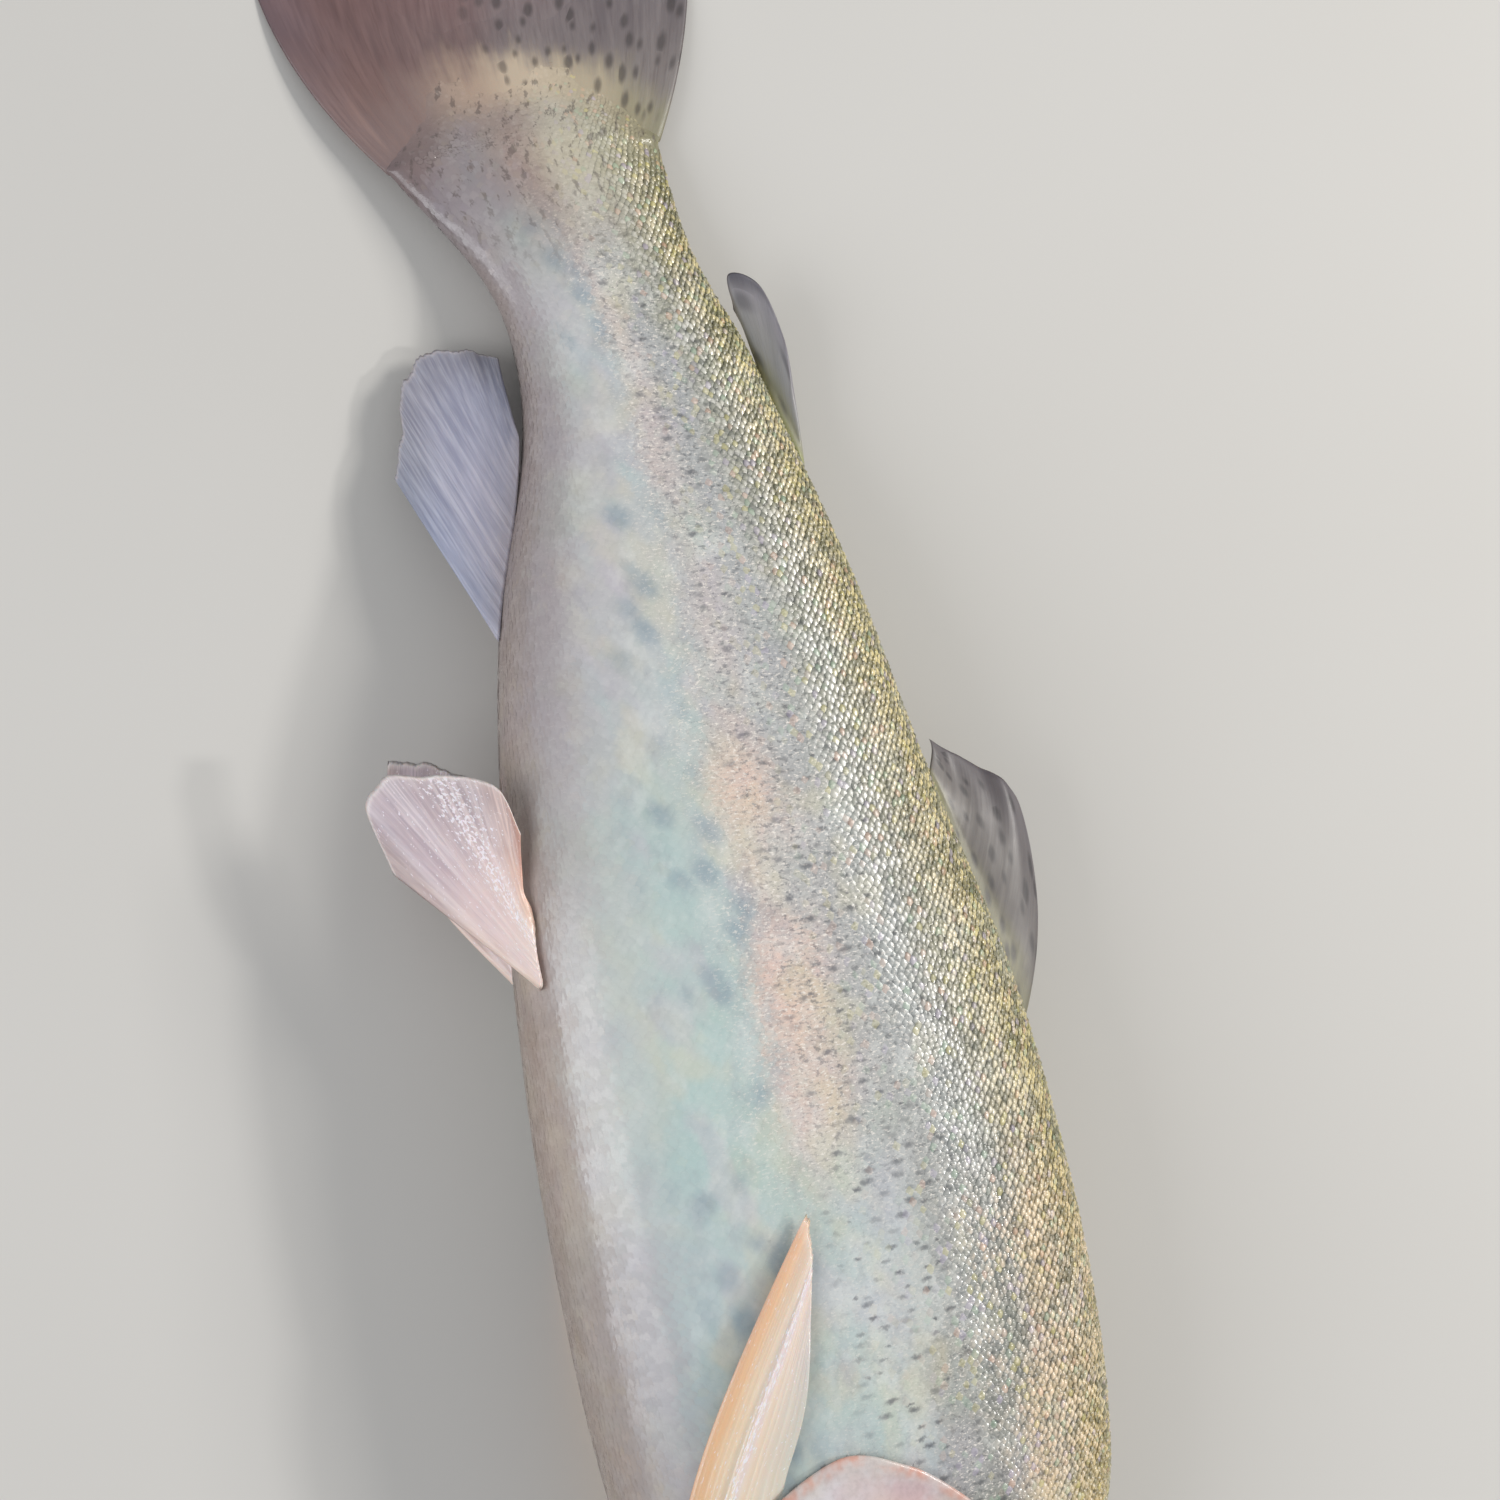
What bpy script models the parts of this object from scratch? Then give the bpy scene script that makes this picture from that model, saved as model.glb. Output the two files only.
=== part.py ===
# A rainbow trout, caught and lying on its left side, as a still life-size model.
# +X points along the fish toward its head, +Y toward its back, +Z up from the surface it lies on.
# The body is one smooth form, parted by thin gaps where a person would name its parts.

import bmesh
import bpy
import numpy as np
from math import cos, exp, pi, radians, sin

for thing in list(bpy.context.scene.objects):
    bpy.data.objects.remove(thing, do_unlink=True)

# Driving sizes, in metres
LENGTH = 0.340              # snout to the end of the scaled tail root
GAP = 0.0003                # between neighbouring parts
SQUASH = 0.0011             # how far the resting flank is flattened
STALK_SAG = 0.0080          # sideways sag of the limp tail stalk, toward the belly
TAIL_REST = 0.0030          # height of the spine where the tail comes down
FIN_THICKNESS = 0.0009
CAUDAL_THICKNESS = 0.0012
ADIPOSE_THICKNESS = 0.0016
EYE_RADIUS = 0.0066
EYE_DEPTH = 0.0032          # centre of the eye below the skin
EYE_PLACE = 0.070           # fraction of LENGTH behind the snout
GILL_COVER_THICKNESS = 0.0028
CENTRE_X = -0.0273          # middle of the whole fish, fins and all, from mid-length of the body
CENTRE_Y = -0.0034

# The body's form at stations along it, all as fractions of LENGTH:
# distance from the snout, height of the back, depth of the belly, half the width
STATIONS = np.array((
    (0.000, 0.000, 0.000, 0.000),
    (0.010, 0.024, 0.023, 0.020),
    (0.040, 0.053, 0.050, 0.036),
    (0.085, 0.082, 0.079, 0.050),
    (0.140, 0.109, 0.107, 0.061),
    (0.225, 0.139, 0.137, 0.070),
    (0.290, 0.147, 0.144, 0.072),
    (0.370, 0.148, 0.146, 0.073),
    (0.490, 0.138, 0.142, 0.071),
    (0.615, 0.116, 0.127, 0.061),
    (0.735, 0.101, 0.101, 0.047),
    (0.858, 0.077, 0.059, 0.0305),
    (0.918, 0.066, 0.056, 0.0235),
    (1.000, 0.075, 0.088, 0.012),
))
WIDEST = 0.370              # station where the body is widest; ahead of it the spine is level
FULLNESS = 2.25             # section exponent, 2 for an ellipse

# Where the parts meet, as fractions of LENGTH
GILL_EDGE = 0.275           # rear rim of the gill covers at mid flank
NAPE_SETBACK = 0.085        # how far the rim runs forward at the nape
THROAT_SETBACK = 0.078      # and at the throat
RIM_PEAK = radians(101)     # where around the body the rim reaches furthest back
RIM_TURN = 6.5              # how soon the rim turns forward above its peak
WAIST = 0.555               # trunk into its two lengths
STALK_START = 0.858
STALK_END = 0.990
GILL_FRONT = 0.168
COVER_BOW = 0.018           # how much further back the cover starts at its top and bottom
COVER_MIDDLE = radians(98)  # where around the body a cover is centred
COVER_REACH = radians(46)   # and how far it spreads from there
COVER_HALF_HEIGHT = 0.030
RECESS_OVERRUN = 0.010
COVER_SHORT = 0.0015        # how far short of the rim a cover ends, in body lengths
RECESS_CLEARANCE = 0.004
GILL_CONE = 0.030           # how far the cone behind the gills reaches past their rim

# The mouth line and the end of the jaw: fraction of LENGTH, height, and 1 where the gap lies above
MOUTH_LINE = (
    (-0.030, -0.0022, 1),
    (0.055, -0.0070, 1),
    (0.118, -0.0170, 1),
    (0.150, -0.0600, 0),
    (-0.030, -0.0600, 0),
)
JAW_CUT = 0.080

SKIN_TONES = {
    "back": (0.36, 0.35, 0.24, 1.0),
    "flank": (0.62, 0.64, 0.62, 1.0),
    "head": (0.52, 0.48, 0.42, 1.0),
    "cheek": (0.70, 0.58, 0.57, 1.0),
    "jaw": (0.66, 0.60, 0.56, 1.0),
    "fin": (0.40, 0.38, 0.40, 1.0),
    "pale_fin": (0.66, 0.56, 0.56, 1.0),
    "amber_fin": (0.72, 0.50, 0.30, 1.0),
    "eye": (0.05, 0.05, 0.05, 1.0),
}


# Form of the body

def curve(at, knots, values):
    """Smooth curve through the knots, read at one place or many."""
    slopes = np.gradient(values, knots)
    left = np.clip(np.searchsorted(knots, at) - 1, 0, len(knots) - 2)
    span = knots[left + 1] - knots[left]
    s = (at - knots[left]) / span
    return ((1 + 2 * s) * (1 - s) ** 2 * values[left] + s * (1 - s) ** 2 * span * slopes[left]
            + s * s * (3 - 2 * s) * values[left + 1] + s * s * (s - 1) * span * slopes[left + 1])


def extent(column, along):
    """Back height, belly depth or half width; the root of the distance makes the snout round."""
    return LENGTH * curve(np.sqrt(along), np.sqrt(STATIONS[:, 0]), STATIONS[:, column])


def ease(value, start, end):
    s = min(max((value - start) / (end - start), 0.0), 1.0)
    return s * s * (3 - 2 * s)


def spine(along):
    """A point on the fish's long axis: level in front, sinking and sagging with the thinner tail."""
    x = (0.5 - along) * LENGTH
    y = -STALK_SAG * ease(along, 0.85, 1.04)
    level = extent(3, WIDEST) - SQUASH
    z = level + (TAIL_REST - level) * ease(along, 0.47, 1.10)
    return x - CENTRE_X, y - CENTRE_Y, z


def power(value, exponent):
    return np.sign(value) * abs(value) ** exponent


def skin(along, around, inset=0.0):
    """A point of the skin. Around is 0 at the back, a quarter turn on the right (upper) flank."""
    x, y, z = spine(along)
    up = power(cos(around), 2 / FULLNESS)
    out = power(sin(around), 2 / FULLNESS)
    tall = extent(1 if up > 0 else 2, along) - inset
    wide = extent(3, along) - inset
    return x, y + up * max(tall, 0), max(z + out * max(wide, 0), inset)


def gill_rim(around, room=0.0):
    """Where the gill opening lies, further forward at the nape and the throat than at the peak."""
    toward_back = cos(around) - cos(RIM_PEAK)
    if toward_back > 0:
        setback = NAPE_SETBACK * (1 - exp(-RIM_TURN * (toward_back / (1 - cos(RIM_PEAK))) ** 2))
    else:
        setback = THROAT_SETBACK * (-toward_back / (1 + cos(RIM_PEAK))) ** 1.5
    return GILL_EDGE - setback + room / LENGTH


# Making solids

def solid(name, bm, tone, smooth_angle=50):
    bmesh.ops.recalc_face_normals(bm, faces=bm.faces)
    mesh = bpy.data.meshes.new(name)
    bm.to_mesh(mesh)
    bm.free()
    mesh.shade_smooth()
    mesh.set_sharp_from_angle(angle=radians(smooth_angle))
    material = bpy.data.materials.get(tone) or bpy.data.materials.new(tone)
    material.use_nodes = True
    shader = material.node_tree.nodes["Principled BSDF"]
    shader.inputs["Base Color"].default_value = SKIN_TONES[tone]
    shader.inputs["Roughness"].default_value = 0.28
    mesh.materials.append(material)
    piece = bpy.data.objects.new(name, mesh)
    bpy.context.scene.collection.objects.link(piece)
    return piece


def length_of_body(start, end, steps, sides, gill_room=None):
    """A closed length of the body between two rims, each a function of the place around."""
    bm = bmesh.new()
    bmesh.ops.create_grid(bm, x_segments=steps, y_segments=sides, size=1.0)
    for vert in bm.verts:
        u = (vert.co.x + 1) / 2
        around = (vert.co.y + 1) * pi
        first, last = start(around), end(around)
        if first <= 0:
            u = u ** 1.7                      # rings crowd toward the round snout
        vert.co = skin(first + (last - first) * u, around)
    bmesh.ops.remove_doubles(bm, verts=bm.verts, dist=0.000005)
    rims = [e for e in bm.edges if e.is_boundary]
    caps = bmesh.ops.holes_fill(bm, edges=rims, sides=0)["faces"]
    hubs = bmesh.ops.poke(bm, faces=caps)["verts"]
    if gill_room is not None:                 # the gill end is a cone, hollow in the trunk
        hub = max(hubs, key=lambda v: abs(v.co.x - spine(WAIST)[0]))
        hub.co.x = spine(GILL_EDGE + GILL_CONE)[0] - gill_room
    bmesh.ops.triangulate(bm, faces=[f for f in bm.faces if len(f.verts) > 3])
    return bm


def fixed(value):
    return lambda around: value


def cut(target, cutter):
    """Take the cutter's volume out of the target."""
    cutter.hide_render = True
    cutter.display_type = "WIRE"
    hole = target.modifiers.new("cut_" + cutter.name, "BOOLEAN")
    hole.operation = "DIFFERENCE"
    hole.solver = "EXACT"
    hole.object = cutter


def keep_common(target, cutter):
    """Keep only what lies inside the cutter."""
    cut(target, cutter)
    target.modifiers[-1].operation = "INTERSECT"


# Body lengths

def body():
    head = solid("head", length_of_body(fixed(0.0), gill_rim, 22, 34, 0.0), "head")
    front = length_of_body(lambda a: gill_rim(a, GAP), fixed(WAIST - GAP / LENGTH / 2), 15, 34, GAP)
    solid("trunk_front", front, "flank")
    rear = length_of_body(fixed(WAIST + GAP / LENGTH / 2), fixed(STALK_START), 13, 34)
    solid("trunk_rear", rear, "flank")
    solid("tail_stalk", length_of_body(fixed(STALK_START + GAP / LENGTH), fixed(STALK_END), 8, 30), "flank")
    return head


# Head: gill covers, lower jaw, eyes

def cover_slab(side, grow, inner, outer):
    """A curved plate on one cheek, from the cheek bone back to the gill opening, or its recess."""
    bm = bmesh.new()
    bmesh.ops.create_grid(bm, x_segments=7, y_segments=10, size=1.0)
    surface = bm.verts[:]
    twin = {}
    for vert in surface:
        u, v = (vert.co.x + 1) / 2, (vert.co.y + 1) / 2
        from_middle = 2 * v - 1
        around = side * (COVER_MIDDLE + from_middle * (COVER_REACH + grow / COVER_HALF_HEIGHT))
        start = GILL_FRONT + COVER_BOW * from_middle ** 2 - grow / LENGTH
        end = gill_rim(around) + (RECESS_OVERRUN if grow else -COVER_SHORT)
        along = start + (end - start) * u
        vert.co = skin(along, around, -outer)
        twin[vert] = bm.verts.new(skin(along, around, inner))
    for face in bm.faces[:]:
        bm.faces.new([twin[v] for v in reversed(face.verts)])
    for edge in [e for e in bm.edges if e.is_boundary and e.verts[0] in twin]:
        a, b = edge.verts
        bm.faces.new((a, b, twin[b], twin[a]))
    bmesh.ops.triangulate(bm, faces=bm.faces)
    return bm


def gill_covers(head):
    for name, side in (("gill_cover_right", 1), ("gill_cover_left", -1)):
        recess = cover_slab(side, GAP, GILL_COVER_THICKNESS + GAP, RECESS_CLEARANCE)
        cut(head, solid(name + "_recess", recess, "head"))
        solid(name, cover_slab(side, 0.0, GILL_COVER_THICKNESS, 0.0), "cheek")


def jaw_wedge(name, room):
    """The space under the mouth line: from the snout back to the jaw joint and down the throat."""
    outline = []
    for along, height, side_room in MOUTH_LINE:
        x = (0.5 - along) * LENGTH - CENTRE_X
        outline.append((x + room, height - CENTRE_Y - room * side_room))
    bm = bmesh.new()
    face = bm.faces.new([bm.verts.new((x, y, -JAW_CUT / 4)) for x, y in outline])
    grown = bmesh.ops.extrude_face_region(bm, geom=[face])["geom"]
    top = [v for v in grown if isinstance(v, bmesh.types.BMVert)]
    bmesh.ops.translate(bm, verts=top, vec=(0, 0, JAW_CUT))
    return solid(name, bm, "jaw")


def lower_jaw(head):
    cut(head, jaw_wedge("jaw_space", 0.0))
    jaw = solid("lower_jaw", length_of_body(fixed(0.0), fixed(0.19), 20, 32), "jaw")
    keep_common(jaw, jaw_wedge("jaw_form", GAP))


def eye_ball(name, side, radius):
    x, y, z = skin(EYE_PLACE, side * radians(62), EYE_DEPTH)
    bm = bmesh.new()
    bmesh.ops.create_uvsphere(bm, u_segments=18, v_segments=10, radius=radius)
    bmesh.ops.scale(bm, verts=bm.verts, vec=(1.0, 0.94, 0.86))
    bmesh.ops.translate(bm, verts=bm.verts, vec=(x, y, z))
    return solid(name, bm, "eye")


def eyes(head):
    for name, side in (("eye_right", 1), ("eye_left", -1)):
        eye_ball(name, side, EYE_RADIUS)
        cut(head, eye_ball(name + "_socket", side, EYE_RADIUS + GAP))


# Fins

def fin(name, tone, root, ray, rays, steps, thickness=FIN_THICKNESS):
    """A thin curved plate: root(f) is where ray f starts, ray(f, s) how far it has gone at s."""
    bm = bmesh.new()
    bmesh.ops.create_grid(bm, x_segments=rays, y_segments=steps, size=1.0)
    for vert in bm.verts:
        f, s = (vert.co.x + 1) / 2, (vert.co.y + 1) / 2
        x, y, z = np.array(root(f)) + np.array(ray(f, s))
        vert.co = (x, y, max(z, 0.65 * thickness))
    piece = solid(name, bm, tone)
    plate = piece.modifiers.new("plate", "SOLIDIFY")
    plate.thickness = thickness
    plate.offset = 0
    plate.use_even_offset = True
    return piece


def sweep(reach, lean, curl, sink, bow=1.4):
    """A ray leaning back from straight out by lean degrees, curling and sinking toward its tip."""
    def place(s, outward):
        angle = radians(lean + curl * s * s)
        return -sin(angle) * reach * s, outward * cos(angle) * reach * s, -sink * s ** bow
    return place


def between(a, b, f):
    return a + (b - a) * f


def fan(tips, bow=0.0):
    """Straight rays fanned between tips: (ray, x, y, z) with each tip's place in mm from its own root."""
    table = np.array(tips)

    def ray(f, s):
        x, y, z = (0.001 * curve(f, table[:, 0], table[:, k]) for k in (1, 2, 3))
        return x * s, y * s + bow * s * (1 - s), z * s ** 1.4
    return ray


def dorsal_fin():
    def root(f):
        x, y, z = skin(between(0.464, 0.610, f), 0.0)
        return x, y + 0.0012, z

    def ray(f, s):
        reach = between(0.039, 0.006, f ** 1.2) - 0.003 * (1 - min(f / 0.15, 1)) ** 2
        return sweep(reach, between(62, 58, f), 12, between(0.006, 0.003, f))(s, 1)
    fin("dorsal_fin", "fin", root, ray, 12, 7)


def adipose_fin():
    def root(f):
        x, y, z = skin(between(0.797, 0.856, f), 0.0)
        return x, y + 0.0014, z

    tips = ((0.0, -13.5, 0.7, 0.0), (0.25, -18.5, 1.6, 1.5), (0.5, -24.0, -0.4, 3.0),
            (0.75, -22.0, -4.9, 3.0), (1.0, -10.5, -3.5, 1.2))
    fin("adipose_fin", "back", root, fan(tips, 0.0006), 7, 6, ADIPOSE_THICKNESS)


def anal_fin():
    def root(f):
        x, y, z = skin(between(0.731, 0.840, f), pi)
        return x, y - 0.0012, z

    tips = ((0.0, -32.7, -10.5, -9.5), (0.2, -33.4, -9.8, -9.2), (0.42, -34.4, -10.4, -9.0),
            (0.58, -33.4, -8.9, -8.6), (0.79, -25.3, -3.6, -7.4), (1.0, -14.7, 0.6, -4.7))
    fin("anal_fin", "fin", root, fan(tips, -0.0012), 13, 7)


def caudal_fin():
    tail = STALK_END + GAP / LENGTH

    def root(f):
        x, back, z = skin(tail, 0.0)
        belly = skin(tail, pi)[1]
        return x, between(back, belly, f), z

    def ray(f, s):
        reach = 0.036 + 0.024 * abs(1 - 2 * f) ** 1.6
        angle = radians(between(30, -37, f) + between(-14, 21, f) * s ** 1.3)
        return -cos(angle) * reach * s, sin(angle) * reach * s, -0.006 * s
    fin("caudal_fin", "fin", root, ray, 18, 8, CAUDAL_THICKNESS)


def pelvic_fins():
    for name, side in (("pelvic_fin_right", 1), ("pelvic_fin_left", -1)):
        def root(f):
            x, y, z = skin(between(0.545, 0.587, f), side * radians(160))
            return x, y - 0.0012, z + side * 0.0004

        def tucked(f, s):
            return sweep(between(0.046, 0.023, f), between(58, 94, f), between(18, 0, f), 0.022)(s, -1)
        tips = ((0.0, -23.6, -18.4, -11.1), (0.12, -33.9, -21.4, -11.0), (0.25, -36.9, -18.3, -9.8),
                (0.5, -32.9, -11.5, -6.9), (0.7, -28.2, -4.5, -3.1), (0.85, -22.6, 0.0, 0.4),
                (1.0, -12.1, 1.6, 1.6))
        fin(name, "pale_fin", root, fan(tips) if side > 0 else tucked, 10, 7)


def pectoral_fins():
    """The right one is laid back over the flank, the left one is caught flat under the body."""
    tips = np.array(((0.0, 0.405, 98.3), (0.15, 0.400, 98.2), (0.4, 0.384, 98.8),
                     (0.7, 0.366, 100.3), (1.0, 0.342, 103.0)))

    def nowhere(f):
        return 0.0, 0.0, 0.0

    def laid(f, s):
        start = between(152, 114, f)
        along = between(gill_rim(radians(start)) + 0.008, curve(f, tips[:, 0], tips[:, 1]), s)
        around = between(start, curve(f, tips[:, 0], tips[:, 2]), s) - 2 * f * sin(pi * s)
        return skin(along, radians(around), -0.0014 - 0.0014 * sin(pi * s ** 0.8))
    fin("pectoral_fin_right", "amber_fin", nowhere, laid, 9, 9)

    def root(f):
        x, y, z = skin(between(0.234, 0.240, f), -radians(between(155, 130, f)))
        return x, y, z - 0.0015

    def ray(f, s):
        return sweep(between(0.064, 0.046, f), between(91, 94, f), 0, between(0.012, 0.010, f), 0.85)(s, 1)
    fin("pectoral_fin_left", "amber_fin", root, ray, 8, 7)


HEAD = body()
gill_covers(HEAD)
lower_jaw(HEAD)
eyes(HEAD)
dorsal_fin()
adipose_fin()
anal_fin()
caudal_fin()
pelvic_fins()
pectoral_fins()
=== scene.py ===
from math import cos, pi, radians, sin

import bmesh
import bpy
import numpy as np
from mathutils import Matrix, Vector


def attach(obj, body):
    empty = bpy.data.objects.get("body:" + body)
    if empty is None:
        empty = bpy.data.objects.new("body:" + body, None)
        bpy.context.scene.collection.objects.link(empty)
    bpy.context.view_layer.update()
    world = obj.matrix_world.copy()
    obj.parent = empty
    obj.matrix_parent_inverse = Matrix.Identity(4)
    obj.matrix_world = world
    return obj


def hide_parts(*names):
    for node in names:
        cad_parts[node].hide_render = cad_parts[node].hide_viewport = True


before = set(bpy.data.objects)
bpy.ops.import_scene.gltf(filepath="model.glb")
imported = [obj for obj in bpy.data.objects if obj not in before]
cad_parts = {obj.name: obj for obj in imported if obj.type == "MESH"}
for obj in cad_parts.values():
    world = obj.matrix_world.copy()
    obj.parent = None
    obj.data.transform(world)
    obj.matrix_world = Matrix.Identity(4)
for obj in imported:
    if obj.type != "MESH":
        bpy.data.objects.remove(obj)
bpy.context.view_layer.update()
print("frame loaded:", len(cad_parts), "nodes")

mm = 0.001

# form of the body, the same as the solids
body = {
    "length": 0.340,          # snout to the end of the scaled tail root
    "squash": 0.0011,         # resting flank pressed flat by this
    "stalkSag": 0.0080,
    "tailRest": 0.0030,
    "fullness": 2.25,         # section exponent
    "centre": (-0.0273, -0.0034),
    "coat": 0.00036,          # depth of the scales over the skin
    "gillEdge": 0.275,
    "napeSetback": 0.085,
    "throatSetback": 0.078,
    "rimPeak": radians(101),
    "rimTurn": 6.5,
    "stalkEnd": 0.990,
    "bareRoot": 0.004,        # skin past the last scales, over the root of the tail fin
    "rayReach": 8.0,          # share of a tail ray covered for each length of body past the stalk
    "tailFade": 0.045,        # the tail root's own colours come in over this share of the length
}
# fraction of length behind the snout, back height, belly depth, half width
bodyStations = np.array((
    (0.000, 0.000, 0.000, 0.000),
    (0.010, 0.024, 0.023, 0.020),
    (0.040, 0.053, 0.050, 0.036),
    (0.085, 0.082, 0.079, 0.050),
    (0.140, 0.109, 0.107, 0.061),
    (0.225, 0.139, 0.137, 0.070),
    (0.290, 0.147, 0.144, 0.072),
    (0.370, 0.148, 0.146, 0.073),
    (0.490, 0.138, 0.142, 0.071),
    (0.615, 0.116, 0.127, 0.061),
    (0.735, 0.101, 0.101, 0.047),
    (0.858, 0.077, 0.059, 0.0305),
    (0.918, 0.066, 0.056, 0.0235),
    (1.000, 0.075, 0.088, 0.012),
))
widestStation = 0.370
# how far back the scaled root reaches over the tail fin, from the fin's upper edge at 0 to its lower at 1
scaledRoot = np.array((
    (0.0, 0.992), (0.08, 1.000), (0.15, 1.014), (0.30, 1.040), (0.42, 1.050),
    (0.55, 1.049), (0.70, 1.040), (0.85, 1.014), (1.0, 0.993),
))


def curveThrough(at, knots, values):
    slopes = np.gradient(values, knots)
    left = np.clip(np.searchsorted(knots, at) - 1, 0, len(knots) - 2)
    span = knots[left + 1] - knots[left]
    s = (at - knots[left]) / span
    return ((1 + 2 * s) * (1 - s) ** 2 * values[left] + s * (1 - s) ** 2 * span * slopes[left]
            + s * s * (3 - 2 * s) * values[left + 1] + s * s * (s - 1) * span * slopes[left + 1])


def extent(column, along):
    knots = np.sqrt(bodyStations[:, 0])
    return body["length"] * curveThrough(np.sqrt(along), knots, bodyStations[:, column])


def ease(value, start, end):
    s = np.clip((value - start) / (end - start), 0.0, 1.0)
    return s * s * (3 - 2 * s)


def between(a, b, f):
    return a + (b - a) * f


def bell(distance, width):
    return np.exp(-(distance / width) ** 2)


def spine(along):
    x = (0.5 - along) * body["length"] - body["centre"][0]
    y = -body["stalkSag"] * ease(along, 0.85, 1.04) - body["centre"][1]
    level = extent(3, widestStation) - body["squash"]
    z = level + (body["tailRest"] - level) * ease(along, 0.47, 1.10)
    return x, y, z


def power(value, exponent):
    return np.sign(value) * np.abs(value) ** exponent


# how high a place around the body lies on it: 1 at the back, -1 at the belly
def heightAt(around):
    return power(np.cos(around), 2 / body["fullness"])


def tailRayOffset(f, s):
    reach = 0.036 + 0.024 * np.abs(1 - 2 * f) ** 1.6
    angle = np.radians(between(30, -37, f) + between(-14, 21, f) * s ** 1.3)
    return -np.cos(angle) * reach * s, np.sin(angle) * reach * s, -0.006 * s


def scaledEnd(f):
    return np.interp(f, scaledRoot[:, 0], scaledRoot[:, 1])


# points of the body: around is 0 at the back and a quarter turn on the upper flank
def bodyPoint(along, around, inset=0.0):
    along, around = np.broadcast_arrays(np.asarray(along, float), np.asarray(around, float))
    onBody = np.minimum(along, body["stalkEnd"])
    x, y, z = spine(onBody)
    up = heightAt(around)
    out = power(np.sin(around), 2 / body["fullness"])
    tall = np.where(up > 0, extent(1, onBody), extent(2, onBody)) - inset
    wide = np.maximum(extent(3, onBody) - inset, 0)
    # past the stalk the skin runs out over the tail fin and thins to nothing
    f = (1 - up) / 2
    end = scaledEnd(f) + body["bareRoot"]
    past = np.clip(along, body["stalkEnd"], end) - body["stalkEnd"]
    beyond = past / (end - body["stalkEnd"])
    dx, dy, dz = tailRayOffset(f, past * body["rayReach"])
    thin = (1 - ease(beyond, 0, 0.8)) * 0.93 + 0.07 * (1 - beyond)
    overFin = between(0.85, 0.38, beyond) * mm * ease(beyond, 0, 0.3) * (beyond < 1)
    height = np.maximum(z + out * (wide * thin + overFin) + dz, inset)
    return np.stack((x + dx, y + up * np.maximum(tall, 0) + dy, height), -1)


def gillRim(around):
    towardBack = np.cos(around) - cos(body["rimPeak"])
    back = 1 - np.exp(-body["rimTurn"] * np.clip(towardBack / (1 - cos(body["rimPeak"])), 0, 1) ** 2)
    throat = np.clip(-towardBack / (1 + cos(body["rimPeak"])), 0, 1) ** 1.5
    return body["gillEdge"] - body["napeSetback"] * back - body["throatSetback"] * throat


# across the free edge of the gill cover: mm behind the rim, mm of lift. It turns under and back out.
gillEdgeProfile = np.array((
    (-7.0, 0.0), (-4.5, 0.35), (-2.6, 0.70), (-1.3, 0.88), (-0.5, 0.92), (0.0, 0.80), (0.26, 0.58),
    (0.30, 0.34), (0.10, 0.10), (-0.4, -0.12), (-0.6, -0.35), (-0.2, -0.52), (0.7, -0.50),
    (2.0, -0.38), (4.0, -0.22), (6.5, -0.08), (10.0, 0.0),
))


# the opening is closed over the nape and narrows at the throat.
def gillOpen(around):
    turned = np.abs(around)
    return ease(turned, radians(40), radians(58)) * (1 - 0.55 * ease(turned, radians(166), radians(180)))


# how far the shoulder sinks behind the gill cover, in metres below the plain form.
def gillDip(along, around):
    behind = (along - gillRim(around)) * body["length"] / mm
    rear = gillEdgeProfile[11:]
    return -np.interp(behind, rear[:, 0], rear[:, 1]) * mm * gillOpen(around)


# point, direction toward the tail, direction toward the belly on the right, and outward normal.
def surfaceFrame(along, around, inset):
    step, turn = 0.0015, 0.02
    point = bodyPoint(along, around, inset)
    rear = bodyPoint(along + step, around, inset) - bodyPoint(along - step, around, inset)
    side = bodyPoint(along, around + turn, inset) - bodyPoint(along, around - turn, inset)
    rear = unit(rear)
    out = unit(np.cross(rear, side))
    return point, rear, np.cross(out, rear), out


def readPoints(mesh):
    points = np.empty(len(mesh.vertices) * 3)
    mesh.vertices.foreach_get("co", points)
    return points.reshape(-1, 3)


def addField(mesh, name, values, kind="FLOAT"):
    field = mesh.attributes.new(name, kind, "POINT")
    field.data.foreach_set("vector" if kind == "FLOAT_VECTOR" else "value", np.ravel(values).astype(np.float32))


def placed(name, mesh, material, nodes):
    mesh.materials.append(material)
    piece = bpy.data.objects.new(name, mesh)
    bpy.context.scene.collection.objects.link(piece)
    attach(piece, "root")
    if nodes:
        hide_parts(*nodes)


# a flat grid with its own map, and where each point lies on it from 0 to 1.
def gridMesh(name, rows, columns):
    bm = bmesh.new()
    bmesh.ops.create_grid(bm, x_segments=rows, y_segments=columns, size=1.0)
    maps = bm.loops.layers.uv.new("OFBake")
    for face in bm.faces:
        for loop in face.loops:
            loop[maps].uv = ((loop.vert.co.x + 1) / 2, (loop.vert.co.y + 1) / 2)
    mesh = bpy.data.meshes.new(name)
    bm.to_mesh(mesh)
    bm.free()
    spots = (readPoints(mesh)[:, :2] + 1) / 2
    return mesh, spots[:, 0], spots[:, 1]


def closeMesh(mesh, merge=0.000002):
    bm = bmesh.new()
    bm.from_mesh(mesh)
    bmesh.ops.remove_doubles(bm, verts=bm.verts, dist=merge)
    holes = [e for e in bm.edges if e.is_boundary]
    if holes:
        bmesh.ops.holes_fill(bm, edges=holes, sides=0)
    bmesh.ops.recalc_face_normals(bm, faces=bm.faces)
    bm.to_mesh(mesh)
    bm.free()
    mesh.shade_smooth()


def unit(vectors):
    return vectors / (np.linalg.norm(vectors, axis=-1, keepdims=True) + 1e-12)


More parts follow.
